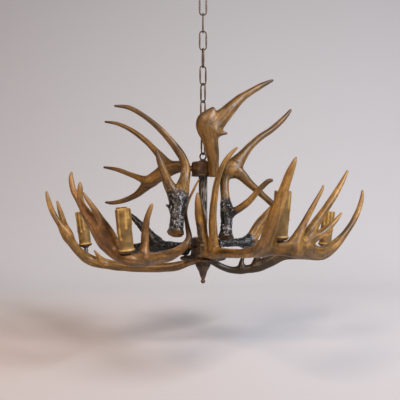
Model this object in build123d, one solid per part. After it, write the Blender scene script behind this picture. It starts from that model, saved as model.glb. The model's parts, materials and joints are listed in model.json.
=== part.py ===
from build123d import *
import math
import os

# An antler chandelier for six candle bulbs, hung from the ceiling by nine links of chain.
# Millimetres, +Z up. The origin is the middle of the ceiling bracket's top face, and all of
# it hangs below. Two tiers of cast antlers are screwed to a metal core: four to a drum-shaped
# collar, and six to a bell-shaped hub and the plate under it. A tube with a thread at both
# ends runs down the core and holds it together between the loop and the finial.

# --- fits ---
RUNNING_GAP = 0.3     # between pieces that move on each other
SEAT_GAP = 0.2        # all round a screw, stem, tube or boss in its hole
CUP_GAP = 0.5         # between a drip cup and the antler round it

# --- ceiling fitting ---
BRACKET_LENGTH = 106.0
BRACKET_WIDTH = 22.0
BRACKET_THICKNESS = 2.5
BRACKET_SLOT_SPACING = 80.0
BRACKET_SLOT_LENGTH = 14.0
BRACKET_SLOT_WIDTH = 5.5
CANOPY_DIAMETER = 125.0
CANOPY_HEIGHT = 34.0
CANOPY_WALL = 1.6
CANOPY_FLOOR_DIAMETER = 44.0
CANOPY_BAND = 6.0      # the upright band at the rim
CANOPY_STEP = 4.0      # how far the body is set in from the band
NIPPLE_REST = 0.5      # from the ceiling down to the nipple's top
NIPPLE_GRIP = 8.0      # how far the nipple goes into the neck
CANOPY_NECK_HEIGHT = 12.0
CANOPY_NECK_DIAMETER = 18.0
CANOPY_LOOP_BORE = 18.0
CANOPY_LOOP_WIRE = 5.0
CANOPY_LOOP_FACING = 90.0

# --- threaded tube and nuts ---
TUBE_DIAMETER = 10.0
TUBE_BORE = 6.5
NUT_WIDTH = 15.0
NUT_HEIGHT = 5.0

# --- chain ---
LINK_COUNT = 9
LINK_PITCH = 43.6
LINK_WIDTH = 20.0
LINK_WIRE = 3.4
# The way that each link faces, in degrees from the X axis, from the top one down.
LINK_FACING = [0, 90, 8, 100, 32, 128, 50, 142, 62]

# --- core ---
COLUMN_LOOP_BORE = 13.0
COLUMN_LOOP_WIRE = 4.0
COLUMN_LOOP_FACING = 150.0
LOOP_FOOT_DIAMETER = 14.0
LOOP_FOOT_HEIGHT = 3.5
TUBE_COVER = 1.8       # metal left over the tube's top end
RING_DIAMETER = 21.0
RING_HEIGHT = 3.0
COLLAR_DIAMETER = 57.0
COLLAR_HEIGHT = 36.0
COLLAR_WALL = 3.0
COLLAR_TOP = 4.0
COLLAR_SHOULDER = 5.0
BEAD_STEP = 1.0
COLUMN_DIAMETER = 23.0
COLUMN_LENGTH = 184.0
COLUMN_WAIST = 0.8     # how much narrower the column is half way down
HUB_DIAMETER = 60.0
HUB_HEIGHT = 50.0
HUB_WALL = 3.0
HUB_TOP = 4.0
HUB_SHOULDER = 8.0
HUB_FLARE = 8.0        # how far the bell's mouth stands out
HUB_LIP = 1.5          # the upright edge at the mouth
PLATE_DIAMETER = 115.0
PLATE_THICKNESS = 5.0
PLATE_EDGE = 1.5
FINIAL_DIAMETER = 37.5
FINIAL_LENGTH = 61.0
FINIAL_BORE_DEPTH = 25.0
FINIAL_BAND = 16.0     # the upright band under the plate
FINIAL_TIP_DIAMETER = 11.5

# --- bosses and screws that hold the antlers ---
BOSS_DIAMETER = 12.0
BOSS_INSIDE = 3.5      # how far a boss stands into the casting, as a flat for the screw's head
SCREW_DIAMETER = 5.0
SCREW_HEAD_DIAMETER = 8.5
SCREW_HEAD_HEIGHT = 3.5
SCREW_SLOT = 1.2
SCREW_BITE = 10.0      # how far a screw goes on into the antler

# --- candle lights ---
SLEEVE_DIAMETER = 30.0
SLEEVE_BORE = 25.0
SLEEVE_HEIGHT = 87.0
DRIP_RADIUS = 2.3
DRIP_STAND = 1.2       # how far a wax run stands out of the sleeve
DRIP_LENGTHS = [34, 16, 46, 22, 12, 40, 19]
HOLDER_DIAMETER = 24.0
HOLDER_HEIGHT = 82.0
HOLDER_HEAD_HEIGHT = 34.0
HOLDER_STALK_DIAMETER = 16.0
SOCKET_BORE = 14.0     # takes an E14 bulb cap
SOCKET_DEPTH = 26.0
CUP_DIAMETER = 35.0
CUP_DEPTH = 6.0        # from the candle's foot down to the cup's own foot
CUP_RIM = 2.5          # how far the rim stands up round the candle
CUP_WALL = 1.4
CUP_FOOT_DIAMETER = 15.0
STEM_GRIP = 9.0        # how far the stem goes up into the bulb holder
LEAN = 7.5             # degrees that each candle leans outwards

# The six lights: where the candle's foot stands (x, y, height above the plate), and how far
# its stem goes down from there.
LIGHTS = {
    "front_left": (-157, -215, 37.5, 19),
    "left": (-304, 42, 25, 34),
    "front_right": (140, -300, 72, 24),
    "right": (311, 25, 27, 26),
    "back_right": (232, 190, 34, 28),
    "back_left": (-225, 167, 34, 36),
}

# --- levels, worked out from the ceiling down ---
NECK_FOOT = -(CANOPY_HEIGHT + CANOPY_NECK_HEIGHT)
LOOP_SINK = 1.4        # how far each loop's wire is run into its neck or foot
CANOPY_LOOP_Z = NECK_FOOT + LOOP_SINK - CANOPY_LOOP_WIRE - CANOPY_LOOP_BORE / 2
CHAIN_TOP = CANOPY_LOOP_Z - CANOPY_LOOP_BORE / 2
CHAIN_FOOT = CHAIN_TOP - LINK_COUNT * LINK_PITCH
COLUMN_LOOP_Z = CHAIN_FOOT + RUNNING_GAP - COLUMN_LOOP_BORE / 2
LOOP_FOOT_TOP = COLUMN_LOOP_Z - COLUMN_LOOP_BORE / 2 - 0.5
RING_TOP = LOOP_FOOT_TOP - LOOP_FOOT_HEIGHT
COLLAR_TOP_Z = RING_TOP - RING_HEIGHT
COLLAR_Z = COLLAR_TOP_Z - COLLAR_HEIGHT          # the collar's lower rim
COLUMN_TOP_Z = COLLAR_TOP_Z - COLLAR_TOP
HUB_TOP_Z = COLUMN_TOP_Z - COLUMN_LENGTH
HUB_Z = HUB_TOP_Z - HUB_HEIGHT                   # the hub's mouth, on the plate
PLATE_FOOT_Z = HUB_Z - PLATE_THICKNESS
TUBE_TOP = LOOP_FOOT_TOP - TUBE_COVER
TUBE_FOOT = PLATE_FOOT_Z - FINIAL_BORE_DEPTH
NIPPLE_FOOT = -(CANOPY_HEIGHT + NIPPLE_GRIP)
TUBE_HOLE = TUBE_DIAMETER + 2 * SEAT_GAP
SCREW_HOLE = SCREW_DIAMETER + 2 * SEAT_GAP

# --- the antlers ---
# A branch is a run of stations from its root to its tip: (x, y, height, radius), where x and y
# are from the column's middle, and the height is above the collar's lower rim for the upper
# four and above the plate for the lower six. A fifth number is half the thickness, front to
# back, where the horn flattens into a palm. The first branch is the beam, and the rest spring
# from inside it.
UPPER_ANTLERS = {
    "antler_upper_front_left": [
        [(-63, -84, -138, 18), (-62, -72, -119, 16.5), (-61, -57, -91, 16.5), (-60, -46, -70, 19),
         (-57, -36, -49, 22.5), (-50, -26, -28, 17.5), (-44, -15, -1, 13.5), (-43, -9, 27, 11.5),
         (-56, -9, 55, 10), (-82, -12, 89, 8.5), (-112, -14, 121, 7), (-147, -16, 149, 6),
         (-182, -18, 168, 5.5), (-216, -20, 172, 3)],
        [(-63, -40, -55, 17.5), (-80, -45, -28, 13.5), (-93, -52, 5, 10), (-104, -56, 36, 7),
         (-111, -56, 60, 2.5)],
        [(-70, -53, -83, 5.5), (-80, -53, -76, 3), (-89, -53, -71, 1.5)],
    ],
    "antler_upper_back_left": [
        [(-43, 24, 26, 14), (-67, 36, 26, 16), (-90, 48, 21, 20, 16), (-111, 62, 9, 19.5, 15.5),
         (-136, 78, -7, 15.5), (-159, 92, -27, 12), (-183, 106, -46, 8.5), (-218, 118, -61, 6.5),
         (-249, 126, -67, 5), (-269, 130, -66, 3)],
        [(-88, 46, 23, 17, 13.5), (-106, 60, 48, 12.5), (-128, 74, 74, 8.5), (-156, 90, 102, 7.5),
         (-193, 104, 130, 6.5), (-234, 116, 150, 5), (-269, 124, 157, 3)],
        [(-136, 78, -8, 14), (-160, 90, -4, 9.5), (-194, 108, 9, 7), (-238, 126, 25, 5.5),
         (-275, 138, 32, 3)],
    ],
    "antler_upper_crown": [
        [(26, -33, -3, 11.5), (26, -37, 30, 13.5), (22, -43, 60, 16.5), (16, -48, 86, 19.5, 15.5),
         (11, -50, 110, 23, 15), (8, -50, 130, 22, 13), (3, -50, 145, 15.5, 9), (0, -50, 152, 8, 5)],
        [(22, -50, 115, 21, 13.5), (43, -46, 137, 19.5, 14), (65, -38, 161, 15.5),
         (89, -28, 186, 11.5), (115, -16, 206, 8.5), (147, -2, 227, 6.5), (175, 8, 242, 3)],
        [(24, -50, 103, 11), (42, -50, 101, 5.5), (56, -50, 100, 2.5)],
        [(14, -50, 136, 11), (21, -50, 152, 6.5), (24, -50, 160, 3)],
    ],
    "antler_upper_right": [
        [(54, -46, -151, 16.5), (57, -34, -128, 14), (58, -22, -102, 14.5), (58, -14, -82, 16),
         (56, -4, -58, 12.5), (54, 6, -30, 11.5), (55, 14, -4, 12.5), (65, 20, 16, 18.5, 14.5),
         (82, 26, 31, 21, 13.5), (100, 34, 53, 14.5), (122, 42, 79, 10.5), (149, 52, 104, 9),
         (182, 64, 127, 8), (214, 76, 156, 7), (235, 84, 181, 3.5)],
        [(71, 20, 20, 20.5, 13), (95, 16, 6, 14, 11.5), (119, 6, -19, 10), (147, -6, -46, 8.5),
         (172, -18, -70, 7), (195, -28, -91, 2.5)],
        [(61, -20, -93, 12.5), (81, -34, -84, 9.5), (108, -50, -64, 8), (133, -60, -35, 7),
         (151, -66, -17, 6), (161, -69, -13, 4)],
    ],
}
LOWER_ANTLERS = {
    "antler_lower_left": [
        [(-10, 38, -11, 10), (-30, 40.5, -16, 10.5), (-78, 48, -31, 11.5), (-164, 50, -34, 12), (-252, 46, -24, 12.5),
         (-292, 40, -12, 13), (-315, 20, 11, 11.5), (-333, 6, 41, 11), (-343, 2, 63, 10.5)],
        [(-339, 4, 52, 10), (-357, -4, 83, 7.5), (-373, -10, 113, 6.5), (-382, -14, 142, 5.5),
         (-386, -16, 162, 3)],
        [(-339, 6, 54, 9), (-352, 16, 85, 7), (-364, 26, 111, 6), (-374, 32, 138, 3)],
        [(-257, 42, -19, 8), (-267, 30, -2, 5), (-276, 22, 13, 2.5)],
    ],
    "antler_lower_front_left": [
        [(-220, -176, 80, 18, 10.5), (-204, -176, 53, 19.5, 11.5), (-181, -184, 30, 15.5, 12.5),
         (-149, -214, 21, 12.5), (-114, -162, 15, 12), (-80, -104, 16, 11), (-60, -72, 22, 10),
         (-44, -52, 34, 8.5), (-34, -42, 52, 7), (-38, -34, 78, 5), (-43, -26, 110, 4),
         (-37, -23, 138, 3.5), (-22, -25, 170, 3), (-10, -28, 193, 2)],
        [(-223, -176, 87, 14, 9.5), (-247, -174, 112, 10), (-266, -168, 141, 8),
         (-280, -162, 164, 7), (-286, -158, 187, 5.5), (-286, -156, 202, 2.5)],
        [(-233, -178, 95, 11.5, 9.5), (-249, -188, 118, 9), (-257, -194, 144, 6.5),
         (-257, -196, 167, 5.5), (-257, -196, 178, 2.5)],
        [(-208, -178, 78, 12.5, 9), (-217, -192, 105, 7.5), (-230, -204, 130, 5.5),
         (-240, -210, 146, 4), (-246, -213, 157, 2)],
        [(-126, -184, 20, 11), (-125, -182, 45, 9), (-123, -184, 72, 8), (-119, -190, 101, 6.5),
         (-111, -196, 124, 5), (-107, -198, 134, 2.5)],
    ],
    "antler_lower_back_left": [
        [(-41, 32, 19, 18), (-65, 48, 17, 17.5), (-98, 70, 17, 17), (-133, 98, 19, 19),
         (-170, 130, 9, 15.5), (-213, 158, 4, 13), (-254, 185, 10, 11.5), (-292, 208, 33, 8.5),
         (-316, 226, 61, 6.5), (-334, 238, 83, 3.5)],
        [(-124, 94, 26, 17), (-150, 104, 53, 13.5), (-173, 112, 77, 9.5), (-197, 118, 99, 6.5),
         (-221, 125, 114, 3)],
        [(-158, 124, 9, 14), (-161, 178, -1, 13.5), (-147, 232, -6, 11.5), (-124, 282, -2, 9),
         (-102, 318, 7, 4)],
    ],
    "antler_lower_front_right": [
        [(1, -46, 22, 12), (21, -62, 19, 13.5), (48, -96, 21, 11.5), (80, -158, 27, 10),
         (100, -214, 36, 11.5), (116, -266, 49, 14.5, 11), (136, -299, 53, 14, 10),
         (163, -304, 54, 16.5, 10), (191, -286, 49, 17, 10), (219, -262, 40, 14.5, 10),
         (244, -240, 44, 10.5), (274, -220, 61, 8), (302, -202, 87, 6.5), (323, -190, 118, 5.5),
         (334, -183, 147, 4), (336, -180, 162, 2.5)],
        [(25, -64, 19, 12), (24, -76, 58, 10.5), (22, -84, 100, 9.5), (25, -90, 142, 8.5),
         (32, -94, 186, 7), (45, -97, 222, 6), (62, -99, 247, 5), (77, -100, 262, 2.5)],
        [(7, -52, 18, 11.5), (-1, -57, 59, 12), (-7, -60, 102, 12.5), (-11, -62, 134, 9),
         (-13, -62, 158, 3)],
        [(112, -268, 49, 13.5), (115, -310, 79, 11), (125, -333, 110, 9), (137, -346, 143, 7.5),
         (147, -352, 173, 6), (156, -353, 201, 4), (160, -353, 217, 1.5)],
        [(167, -304, 51, 11), (172, -302, 72, 9.5), (187, -296, 100, 6), (207, -289, 134, 4.5),
         (221, -284, 157, 3.5), (227, -282, 170, 2)],
        [(185, -288, 53, 12, 10), (195, -275, 73, 10), (227, -246, 106, 8.5), (260, -219, 143, 7),
         (285, -203, 178, 5), (300, -195, 203, 2.5)],
        [(187, -286, 53, 11.5, 9), (204, -276, 67, 9), (229, -262, 78, 7.5), (256, -248, 98, 5),
         (274, -240, 117, 2)],
    ],
    "antler_lower_back_right": [
        [(39, 36, 31, 11), (71, 54, 31, 10.5), (107, 78, 29, 12), (145, 112, 19, 14.5),
         (197, 164, 9, 13.5), (244, 204, 11, 12.5), (289, 236, 28, 9.5), (324, 258, 50, 7),
         (346, 270, 73, 3.5)],
        [(115, 84, 27, 13), (133, 96, 45, 12.5), (151, 104, 74, 11), (175, 110, 102, 9),
         (198, 116, 127, 6.5), (213, 120, 141, 3)],
        [(164, 128, 13, 14), (176, 180, 1, 13.5), (169, 232, -5, 12), (151, 282, -2, 9.5),
         (127, 320, 5, 4)],
    ],
    "antler_lower_right": [
        [(10, 38, -11, 9.5), (26, 40, -16, 9.5), (44, 44, -28, 8.5), (75, 46, -39, 8.5), (111, 42, -37, 10),
         (142, 38, -30, 13), (172, 34, -14, 15.5), (208, 30, 3, 14), (256, 26, 3, 12),
         (299, 25, 2, 12), (330, 28, 15, 10), (360, 32, 47, 7.5), (383, 36, 80, 5.5),
         (402, 40, 123, 2.5)],
        [(101, 44, -37, 8), (101, 46, -17, 5.5), (111, 50, 8, 2.5)],
        [(137, 38, -28, 9.5), (140, 46, -9, 7), (164, 60, 12, 2.5)],
        [(305, 28, 4, 9), (321, 60, 14, 8), (326, 95, 38, 6), (340, 128, 74, 3)],
    ],
}

# Where each antler is held: the way to it from the column's middle (x, y), the height of its
# boss, and how far out the boss ends.
COLLAR_HOLDS = {
    "antler_upper_front_left": (-43, -11, 18, 36.5),
    "antler_upper_back_left": (-43, 24, 22, 53),
    "antler_upper_crown": (26, -35, 12, 35.5),
    "antler_upper_right": (60, 17, 10, 53),
}
HUB_HOLDS = {
    "antler_lower_front_left": (-47, -56, 31, 68),
    "antler_lower_back_left": (-41, 32, 20, 57),
    "antler_lower_front_right": (8, -51, 21, 43.5),
    "antler_lower_back_right": (39, 34, 31, 57),
}
# The two lowest antlers hang under the plate, each by one screw at this place (x, y).
PLATE_HOLDS = {
    "antler_lower_left": (-20, 39.2),
    "antler_lower_right": (20, 39),
}


# The antler that carries each light.
LIGHT_ANTLERS = {
    "front_left": "antler_lower_front_left",
    "left": "antler_lower_left",
    "front_right": "antler_lower_front_right",
    "right": "antler_lower_right",
    "back_right": "antler_lower_back_right",
    "back_left": "antler_lower_back_left",
}
SECTION_STEP = 16.0    # about how far apart an antler's sections are
OVAL_LIMIT = 0.01      # a section is round when its two half widths differ by less

FROM_BASE = (Align.CENTER, Align.CENTER, Align.MIN)


# --- helpers ---
def ring_of(diameter, wire):
    """A ring of round wire that stands upright in the XZ plane, by its wire's middle line."""
    return Rot(90, 0, 0) * Torus(diameter / 2, wire / 2)


def tube_between(radius, bore, low, high):
    """An upright tube or rod on the column's axis."""
    height = high - low
    body = Cylinder(radius, height, align=FROM_BASE)
    if bore:
        body -= Cylinder(bore / 2, height, align=FROM_BASE)
    return Pos(0, 0, low) * body


def turned(points):
    """A turned piece: the outline (radius, height), closed and spun about the Z axis."""
    outline = make_face(Polyline([(r, 0, z) for r, z in points], close=True))
    return revolve(outline, Axis.Z)


def hex_nut(top):
    """A hexagon nut on the threaded tube, under the level given."""
    flat = RegularPolygon(NUT_WIDTH / 2, 6, major_radius=False)
    nut = extrude(flat, NUT_HEIGHT) - tube_between(TUBE_HOLE / 2, 0, 0, NUT_HEIGHT)
    return Pos(0, 0, top - NUT_HEIGHT) * nut


# --- ceiling fitting ---
def ceiling_bracket():
    """A flat steel bar with two slots for the ceiling screws and a hole for the nipple."""
    blank = Pos(0, 0, -BRACKET_THICKNESS) * extrude(
        RectangleRounded(BRACKET_LENGTH, BRACKET_WIDTH, BRACKET_WIDTH / 3), BRACKET_THICKNESS)
    slot = extrude(SlotOverall(BRACKET_SLOT_LENGTH, BRACKET_SLOT_WIDTH), BRACKET_THICKNESS)
    for side in (-1, 1):
        blank -= Pos(side * BRACKET_SLOT_SPACING / 2, 0, -BRACKET_THICKNESS) * slot
    return blank - tube_between(TUBE_HOLE / 2, 0, -BRACKET_THICKNESS, 0)


def dish(rim, floor, depth, band):
    """A solid dish under the ceiling: an upright band, a step in, and a rounded body."""
    points = [(0, 0), (rim, 0), (rim, -band)]
    for angle in range(0, 91, 15):
        turn = math.radians(angle)
        points.append((floor + (rim - CANOPY_STEP - floor) * math.cos(turn),
                       -band - (depth - band) * math.sin(turn)))
    return turned(points + [(0, -depth)])


def ceiling_canopy():
    """A spun dish, open against the ceiling, with a hole for the nipple."""
    rim, floor = CANOPY_DIAMETER / 2, CANOPY_FLOOR_DIAMETER / 2
    wall = CANOPY_WALL
    shell = dish(rim, floor, CANOPY_HEIGHT, CANOPY_BAND)
    shell -= dish(rim - wall, floor - wall, CANOPY_HEIGHT - wall, CANOPY_BAND - wall)
    return shell - tube_between(TUBE_HOLE / 2, 0, -CANOPY_HEIGHT, 0)


def canopy_loop():
    """The neck that screws on to the nipple under the canopy, with the ring for the chain."""
    half, top = CANOPY_NECK_DIAMETER / 2, -CANOPY_HEIGHT
    neck = turned([(0, top), (half, top), (half, top - 3), (half - 2, top - 5),
                   (half - 2, NECK_FOOT + 2), (half - 4, NECK_FOOT), (0, NECK_FOOT)])
    ring = ring_of(CANOPY_LOOP_BORE + CANOPY_LOOP_WIRE, CANOPY_LOOP_WIRE)
    neck += Pos(0, 0, CANOPY_LOOP_Z) * Rot(0, 0, CANOPY_LOOP_FACING) * ring
    return neck - tube_between(TUBE_HOLE / 2, 0, NIPPLE_FOOT, top)


# --- chain ---
def chain_link():
    """A racetrack of round wire in the XZ plane, hung at the height of the chain's top."""
    reach = (LINK_WIDTH - LINK_WIRE) / 2
    bend = reach - LINK_WIRE / 2
    top = CHAIN_TOP + RUNNING_GAP - bend
    foot = CHAIN_TOP - LINK_PITCH + bend
    half_ring = revolve(Pos(reach, 0, 0) * Circle(LINK_WIRE / 2), Axis.Y, revolution_arc=180)
    link = Pos(0, 0, foot) * half_ring + Pos(0, 0, top) * Rot(0, 180, 0) * half_ring
    for side in (-1, 1):
        link += Pos(side * reach, 0, 0) * tube_between(LINK_WIRE / 2, 0, foot, top)
    return link


# --- core ---
def column_loop():
    """A ring on a short foot, bored for the top of the threaded tube."""
    loop = tube_between(LOOP_FOOT_DIAMETER / 2, 0, RING_TOP, LOOP_FOOT_TOP)
    ring = ring_of(COLUMN_LOOP_BORE + COLUMN_LOOP_WIRE, COLUMN_LOOP_WIRE)
    loop += Pos(0, 0, COLUMN_LOOP_Z) * Rot(0, 0, COLUMN_LOOP_FACING) * ring
    return loop - tube_between(TUBE_HOLE / 2, 0, RING_TOP, TUBE_TOP)


def bell(radius, height, shoulder, flare):
    """A solid bell standing on z = 0, with a rounded shoulder and a mouth that flares."""
    points = [(0, 0), (radius + flare, 0)]
    for angle in range(0, 91, 15):
        turn = math.radians(angle)
        points.append((radius + flare * (1 - math.sin(turn)),
                       HUB_LIP + 1.5 * flare * (1 - math.cos(turn))))
    for angle in range(0, 91, 15):
        turn = math.radians(angle)
        points.append((radius - shoulder * (1 - math.cos(turn)),
                       height - shoulder * (1 - math.sin(turn))))
    return turned(points + [(0, height)])


def radial_plane(x, y, height, distance):
    """A plane that faces outwards, on the line from the column's axis through x, y."""
    way = Vector(x, y, 0).normalized()
    return Plane(origin=way * distance + Vector(0, 0, height), z_dir=way)


def with_bosses(casting, holds, level, inner_radius):
    """Adds a bored boss to a casting for each antler that it holds."""
    start = inner_radius - BOSS_INSIDE
    for x, y, height, reach in holds.values():
        boss = Cylinder(BOSS_DIAMETER / 2, reach - start, align=FROM_BASE)
        casting += radial_plane(x, y, level + height, start) * boss
    for x, y, height, reach in holds.values():
        bore = Cylinder(SCREW_HOLE / 2, reach - start, align=FROM_BASE)
        casting -= radial_plane(x, y, level + height, start) * bore
    return casting


def upper_collar():
    """A drum with a closed top, open below, that holds the upper antlers."""
    radius = COLLAR_DIAMETER / 2
    inner = radius - COLLAR_WALL
    drum = bell(radius, COLLAR_HEIGHT, COLLAR_SHOULDER, BEAD_STEP)
    drum -= bell(inner, COLLAR_HEIGHT - COLLAR_TOP, COLLAR_SHOULDER - COLLAR_WALL, BEAD_STEP)
    drum = with_bosses(Pos(0, 0, COLLAR_Z) * drum, COLLAR_HOLDS, COLLAR_Z, inner)
    return drum - tube_between(TUBE_HOLE / 2, 0, COLLAR_Z, COLLAR_TOP_Z)


def lower_hub():
    """A bell that stands on the plate and holds four of the lower antlers."""
    radius = HUB_DIAMETER / 2
    inner = radius - HUB_WALL
    drum = bell(radius, HUB_HEIGHT, HUB_SHOULDER, HUB_FLARE)
    drum -= bell(inner, HUB_HEIGHT - HUB_TOP, HUB_SHOULDER - HUB_WALL, HUB_FLARE)
    drum = with_bosses(Pos(0, 0, HUB_Z) * drum, HUB_HOLDS, HUB_Z, inner)
    return drum - tube_between(TUBE_HOLE / 2, 0, HUB_Z, HUB_TOP_Z)


def column_sleeve():
    """The covered column between the two castings, a little waisted."""
    rim, middle = COLUMN_DIAMETER / 2, (COLUMN_TOP_Z + HUB_TOP_Z) / 2
    side = ThreePointArc((rim, 0, COLUMN_TOP_Z), (rim - COLUMN_WAIST, 0, middle), (rim, 0, HUB_TOP_Z))
    core = TUBE_HOLE / 2
    ends = Polyline((rim, 0, HUB_TOP_Z), (core, 0, HUB_TOP_Z), (core, 0, COLUMN_TOP_Z),
                    (rim, 0, COLUMN_TOP_Z))
    return revolve(make_face([side, *ends.edges()]), Axis.Z)


def hub_plate():
    """The round plate under the hub, with its edge eased and holes for two antler screws."""
    radius = PLATE_DIAMETER / 2
    ease = PLATE_EDGE
    plate = turned([(0, PLATE_FOOT_Z), (radius - ease, PLATE_FOOT_Z), (radius, PLATE_FOOT_Z + ease),
                    (radius, HUB_Z - ease), (radius - ease, HUB_Z), (0, HUB_Z)])
    plate -= tube_between(TUBE_HOLE / 2, 0, PLATE_FOOT_Z, HUB_Z)
    for x, y in PLATE_HOLDS.values():
        plate -= Pos(x, y, 0) * tube_between(SCREW_HOLE / 2, 0, PLATE_FOOT_Z, HUB_Z)
    return plate


def finial():
    """The turned knob that screws on to the tube's foot and closes the core from below."""
    rim, tip = FINIAL_DIAMETER / 2, FINIAL_TIP_DIAMETER / 2
    band, foot = PLATE_FOOT_Z - FINIAL_BAND, PLATE_FOOT_Z - FINIAL_LENGTH
    knob = foot + 2 * tip
    curve = Spline((rim, 0, band), (0.8 * rim, 0, band - 7), (0.55 * rim, 0, band - 16),
                   (0.36 * rim, 0, band - 28), (0.7 * tip, 0, knob))
    ends = Polyline((0.7 * tip, 0, knob), (0, 0, knob), (0, 0, PLATE_FOOT_Z), (rim, 0, PLATE_FOOT_Z),
                    (rim, 0, band))
    body = revolve(make_face([curve, *ends.edges()]), Axis.Z)
    body += Pos(0, 0, foot + tip) * Sphere(tip) + tube_between(0.6 * tip, 0, knob - tip, knob)
    return body - tube_between(TUBE_HOLE / 2, 0, TUBE_FOOT, PLATE_FOOT_Z)


# --- screws ---
def screw(length):
    """A cheese-head screw along Z: the head below z = 0, the shank above it, and a slot."""
    head = Pos(0, 0, -SCREW_HEAD_HEIGHT) * Cylinder(
        SCREW_HEAD_DIAMETER / 2, SCREW_HEAD_HEIGHT, align=FROM_BASE)
    slot = Pos(0, 0, -SCREW_HEAD_HEIGHT) * Box(
        SCREW_HEAD_DIAMETER, SCREW_SLOT, 2 * SCREW_SLOT)
    return head + Cylinder(SCREW_DIAMETER / 2, length, align=FROM_BASE) - slot


def radial_screws(holds, level, inner_radius):
    """The screws that go out through a casting's bosses."""
    start = inner_radius - BOSS_INSIDE
    return [radial_plane(x, y, level + height, start) * screw(reach + SCREW_BITE - start)
            for x, y, height, reach in holds.values()]


def plate_screws():
    """The screws that go down through the plate."""
    return [Pos(x, y, HUB_Z) * Rot(180, 0, 0) * screw(PLATE_THICKNESS + SCREW_BITE)
            for x, y in PLATE_HOLDS.values()]


# --- candle lights, each upright on z = 0 at the candle's foot ---
def light_place(name):
    """The place of a light: its foot on the antler, and Z along the candle's lean."""
    x, y, height, _ = LIGHTS[name]
    way = Vector(x, y, 0).normalized()
    tilt = math.radians(LEAN)
    up = way * math.sin(tilt) + Vector(0, 0, math.cos(tilt))
    return Plane(origin=(x, y, HUB_Z + height), x_dir=Vector(0, 0, 1).cross(way), z_dir=up)


def candle_sleeve():
    """A tube like a candle, open at both ends, with wax runs cast down its outside."""
    radius = SLEEVE_DIAMETER / 2
    sleeve = tube_between(radius, 0, 0, SLEEVE_HEIGHT)
    for index, length in enumerate(DRIP_LENGTHS):
        turn = math.radians(360 * index / len(DRIP_LENGTHS))
        seat = radius + DRIP_STAND - DRIP_RADIUS
        low = SLEEVE_HEIGHT - length
        run = tube_between(DRIP_RADIUS, 0, low, SLEEVE_HEIGHT) + Pos(0, 0, low) * Sphere(DRIP_RADIUS)
        sleeve += Pos(seat * math.cos(turn), seat * math.sin(turn), 0) * run
    return sleeve - tube_between(SLEEVE_BORE / 2, 0, 0, SLEEVE_HEIGHT)


def drip_cup():
    """A turned saucer with a foot, clamped between the antler's stem and the bulb holder."""
    rim, foot = CUP_DIAMETER / 2, CUP_FOOT_DIAMETER / 2
    hole = TUBE_HOLE / 2
    inside = SLEEVE_DIAMETER / 2 + RUNNING_GAP
    return turned([(hole, -CUP_DEPTH), (foot, -CUP_DEPTH), (foot, -CUP_DEPTH + CUP_WALL),
                   (rim - 2 * CUP_WALL, -CUP_WALL), (rim, CUP_RIM), (rim - CUP_WALL, CUP_RIM),
                   (inside, 0), (hole, 0)])


def bulb_holder():
    """A candle bulb holder: a stalk on the stem, and a wider head with the bulb's socket."""
    head_foot = HOLDER_HEIGHT - HOLDER_HEAD_HEIGHT
    head, stalk = HOLDER_DIAMETER / 2, HOLDER_STALK_DIAMETER / 2
    holder = turned([(0, 0), (stalk, 0), (stalk, head_foot - (head - stalk)), (head, head_foot),
                     (head, HOLDER_HEIGHT - 1), (head - 1, HOLDER_HEIGHT), (0, HOLDER_HEIGHT)])
    holder -= tube_between(SOCKET_BORE / 2, 0, HOLDER_HEIGHT - SOCKET_DEPTH, HOLDER_HEIGHT)
    return holder - tube_between(TUBE_HOLE / 2, 0, 0, STEM_GRIP)


# --- antlers ---
def along(stations):
    """More stations between the given ones, on a curve through them and evenly spaced."""
    full = [(*s[:4], s[4] if len(s) > 4 else s[3]) for s in stations]
    run = [full[0]]
    last = len(full) - 1
    for i in range(last):
        p, q, r, s = full[max(i - 1, 0)], full[i], full[i + 1], full[min(i + 2, last)]
        count = max(1, round(math.dist(q[:3], r[:3]) / SECTION_STEP))
        for t in (j / count for j in range(1, count + 1)):
            run.append([0.5 * (2 * b + (c - a) * t + (2 * a - 5 * b + 4 * c - d) * t ** 2
                               + (3 * b - a - 3 * c + d) * t ** 3)
                        for a, b, c, d in zip(p, q, r, s)])
    return run


def branch(stations, level):
    """A loft from section to section, round or oval, each square to the branch's run."""
    run = along(stations)
    points = [Vector(x, y, z + level) for x, y, z, _, _ in run]
    thin = Vector(0, 1, 0)
    sections = []
    for i, (_, _, _, radius, half) in enumerate(run):
        tangent = (points[min(i + 1, len(run) - 1)] - points[max(i - 1, 0)]).normalized()
        thin = (thin - tangent * thin.dot(tangent)).normalized()
        plane = Plane(origin=points[i], x_dir=thin.cross(tangent), z_dir=tangent)
        oval = abs(radius - half) > OVAL_LIMIT
        sections.append(plane * (Ellipse(radius, half) if oval else Circle(radius)))
    return loft(sections, ruled=True)


def antler(branches, level):
    """A beam with its tines fused on."""
    beam, *tines = [branch(stations, level) for stations in branches]
    return beam.fuse(*tines)


def hold_cut(x, y, height, reach, level):
    """What an antler loses to its boss and screw."""
    pocket = Cylinder(BOSS_DIAMETER / 2 + SEAT_GAP, reach, align=FROM_BASE)
    pilot = Cylinder(SCREW_HOLE / 2, reach + SCREW_BITE, align=FROM_BASE)
    return radial_plane(x, y, level + height, 0) * (pocket + pilot)


def light_cut(name):
    """What an antler loses to a light: a flat seat for the cup, and a hole for the stem."""
    seat = Pos(0, 0, -CUP_DEPTH) * Cylinder(
        CUP_DIAMETER / 2 + CUP_GAP, 2 * CUP_DIAMETER, align=FROM_BASE)
    stem = tube_between(TUBE_HOLE / 2, 0, -LIGHTS[name][3], 0)
    return [light_place(name) * seat, light_place(name) * stem]


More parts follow.
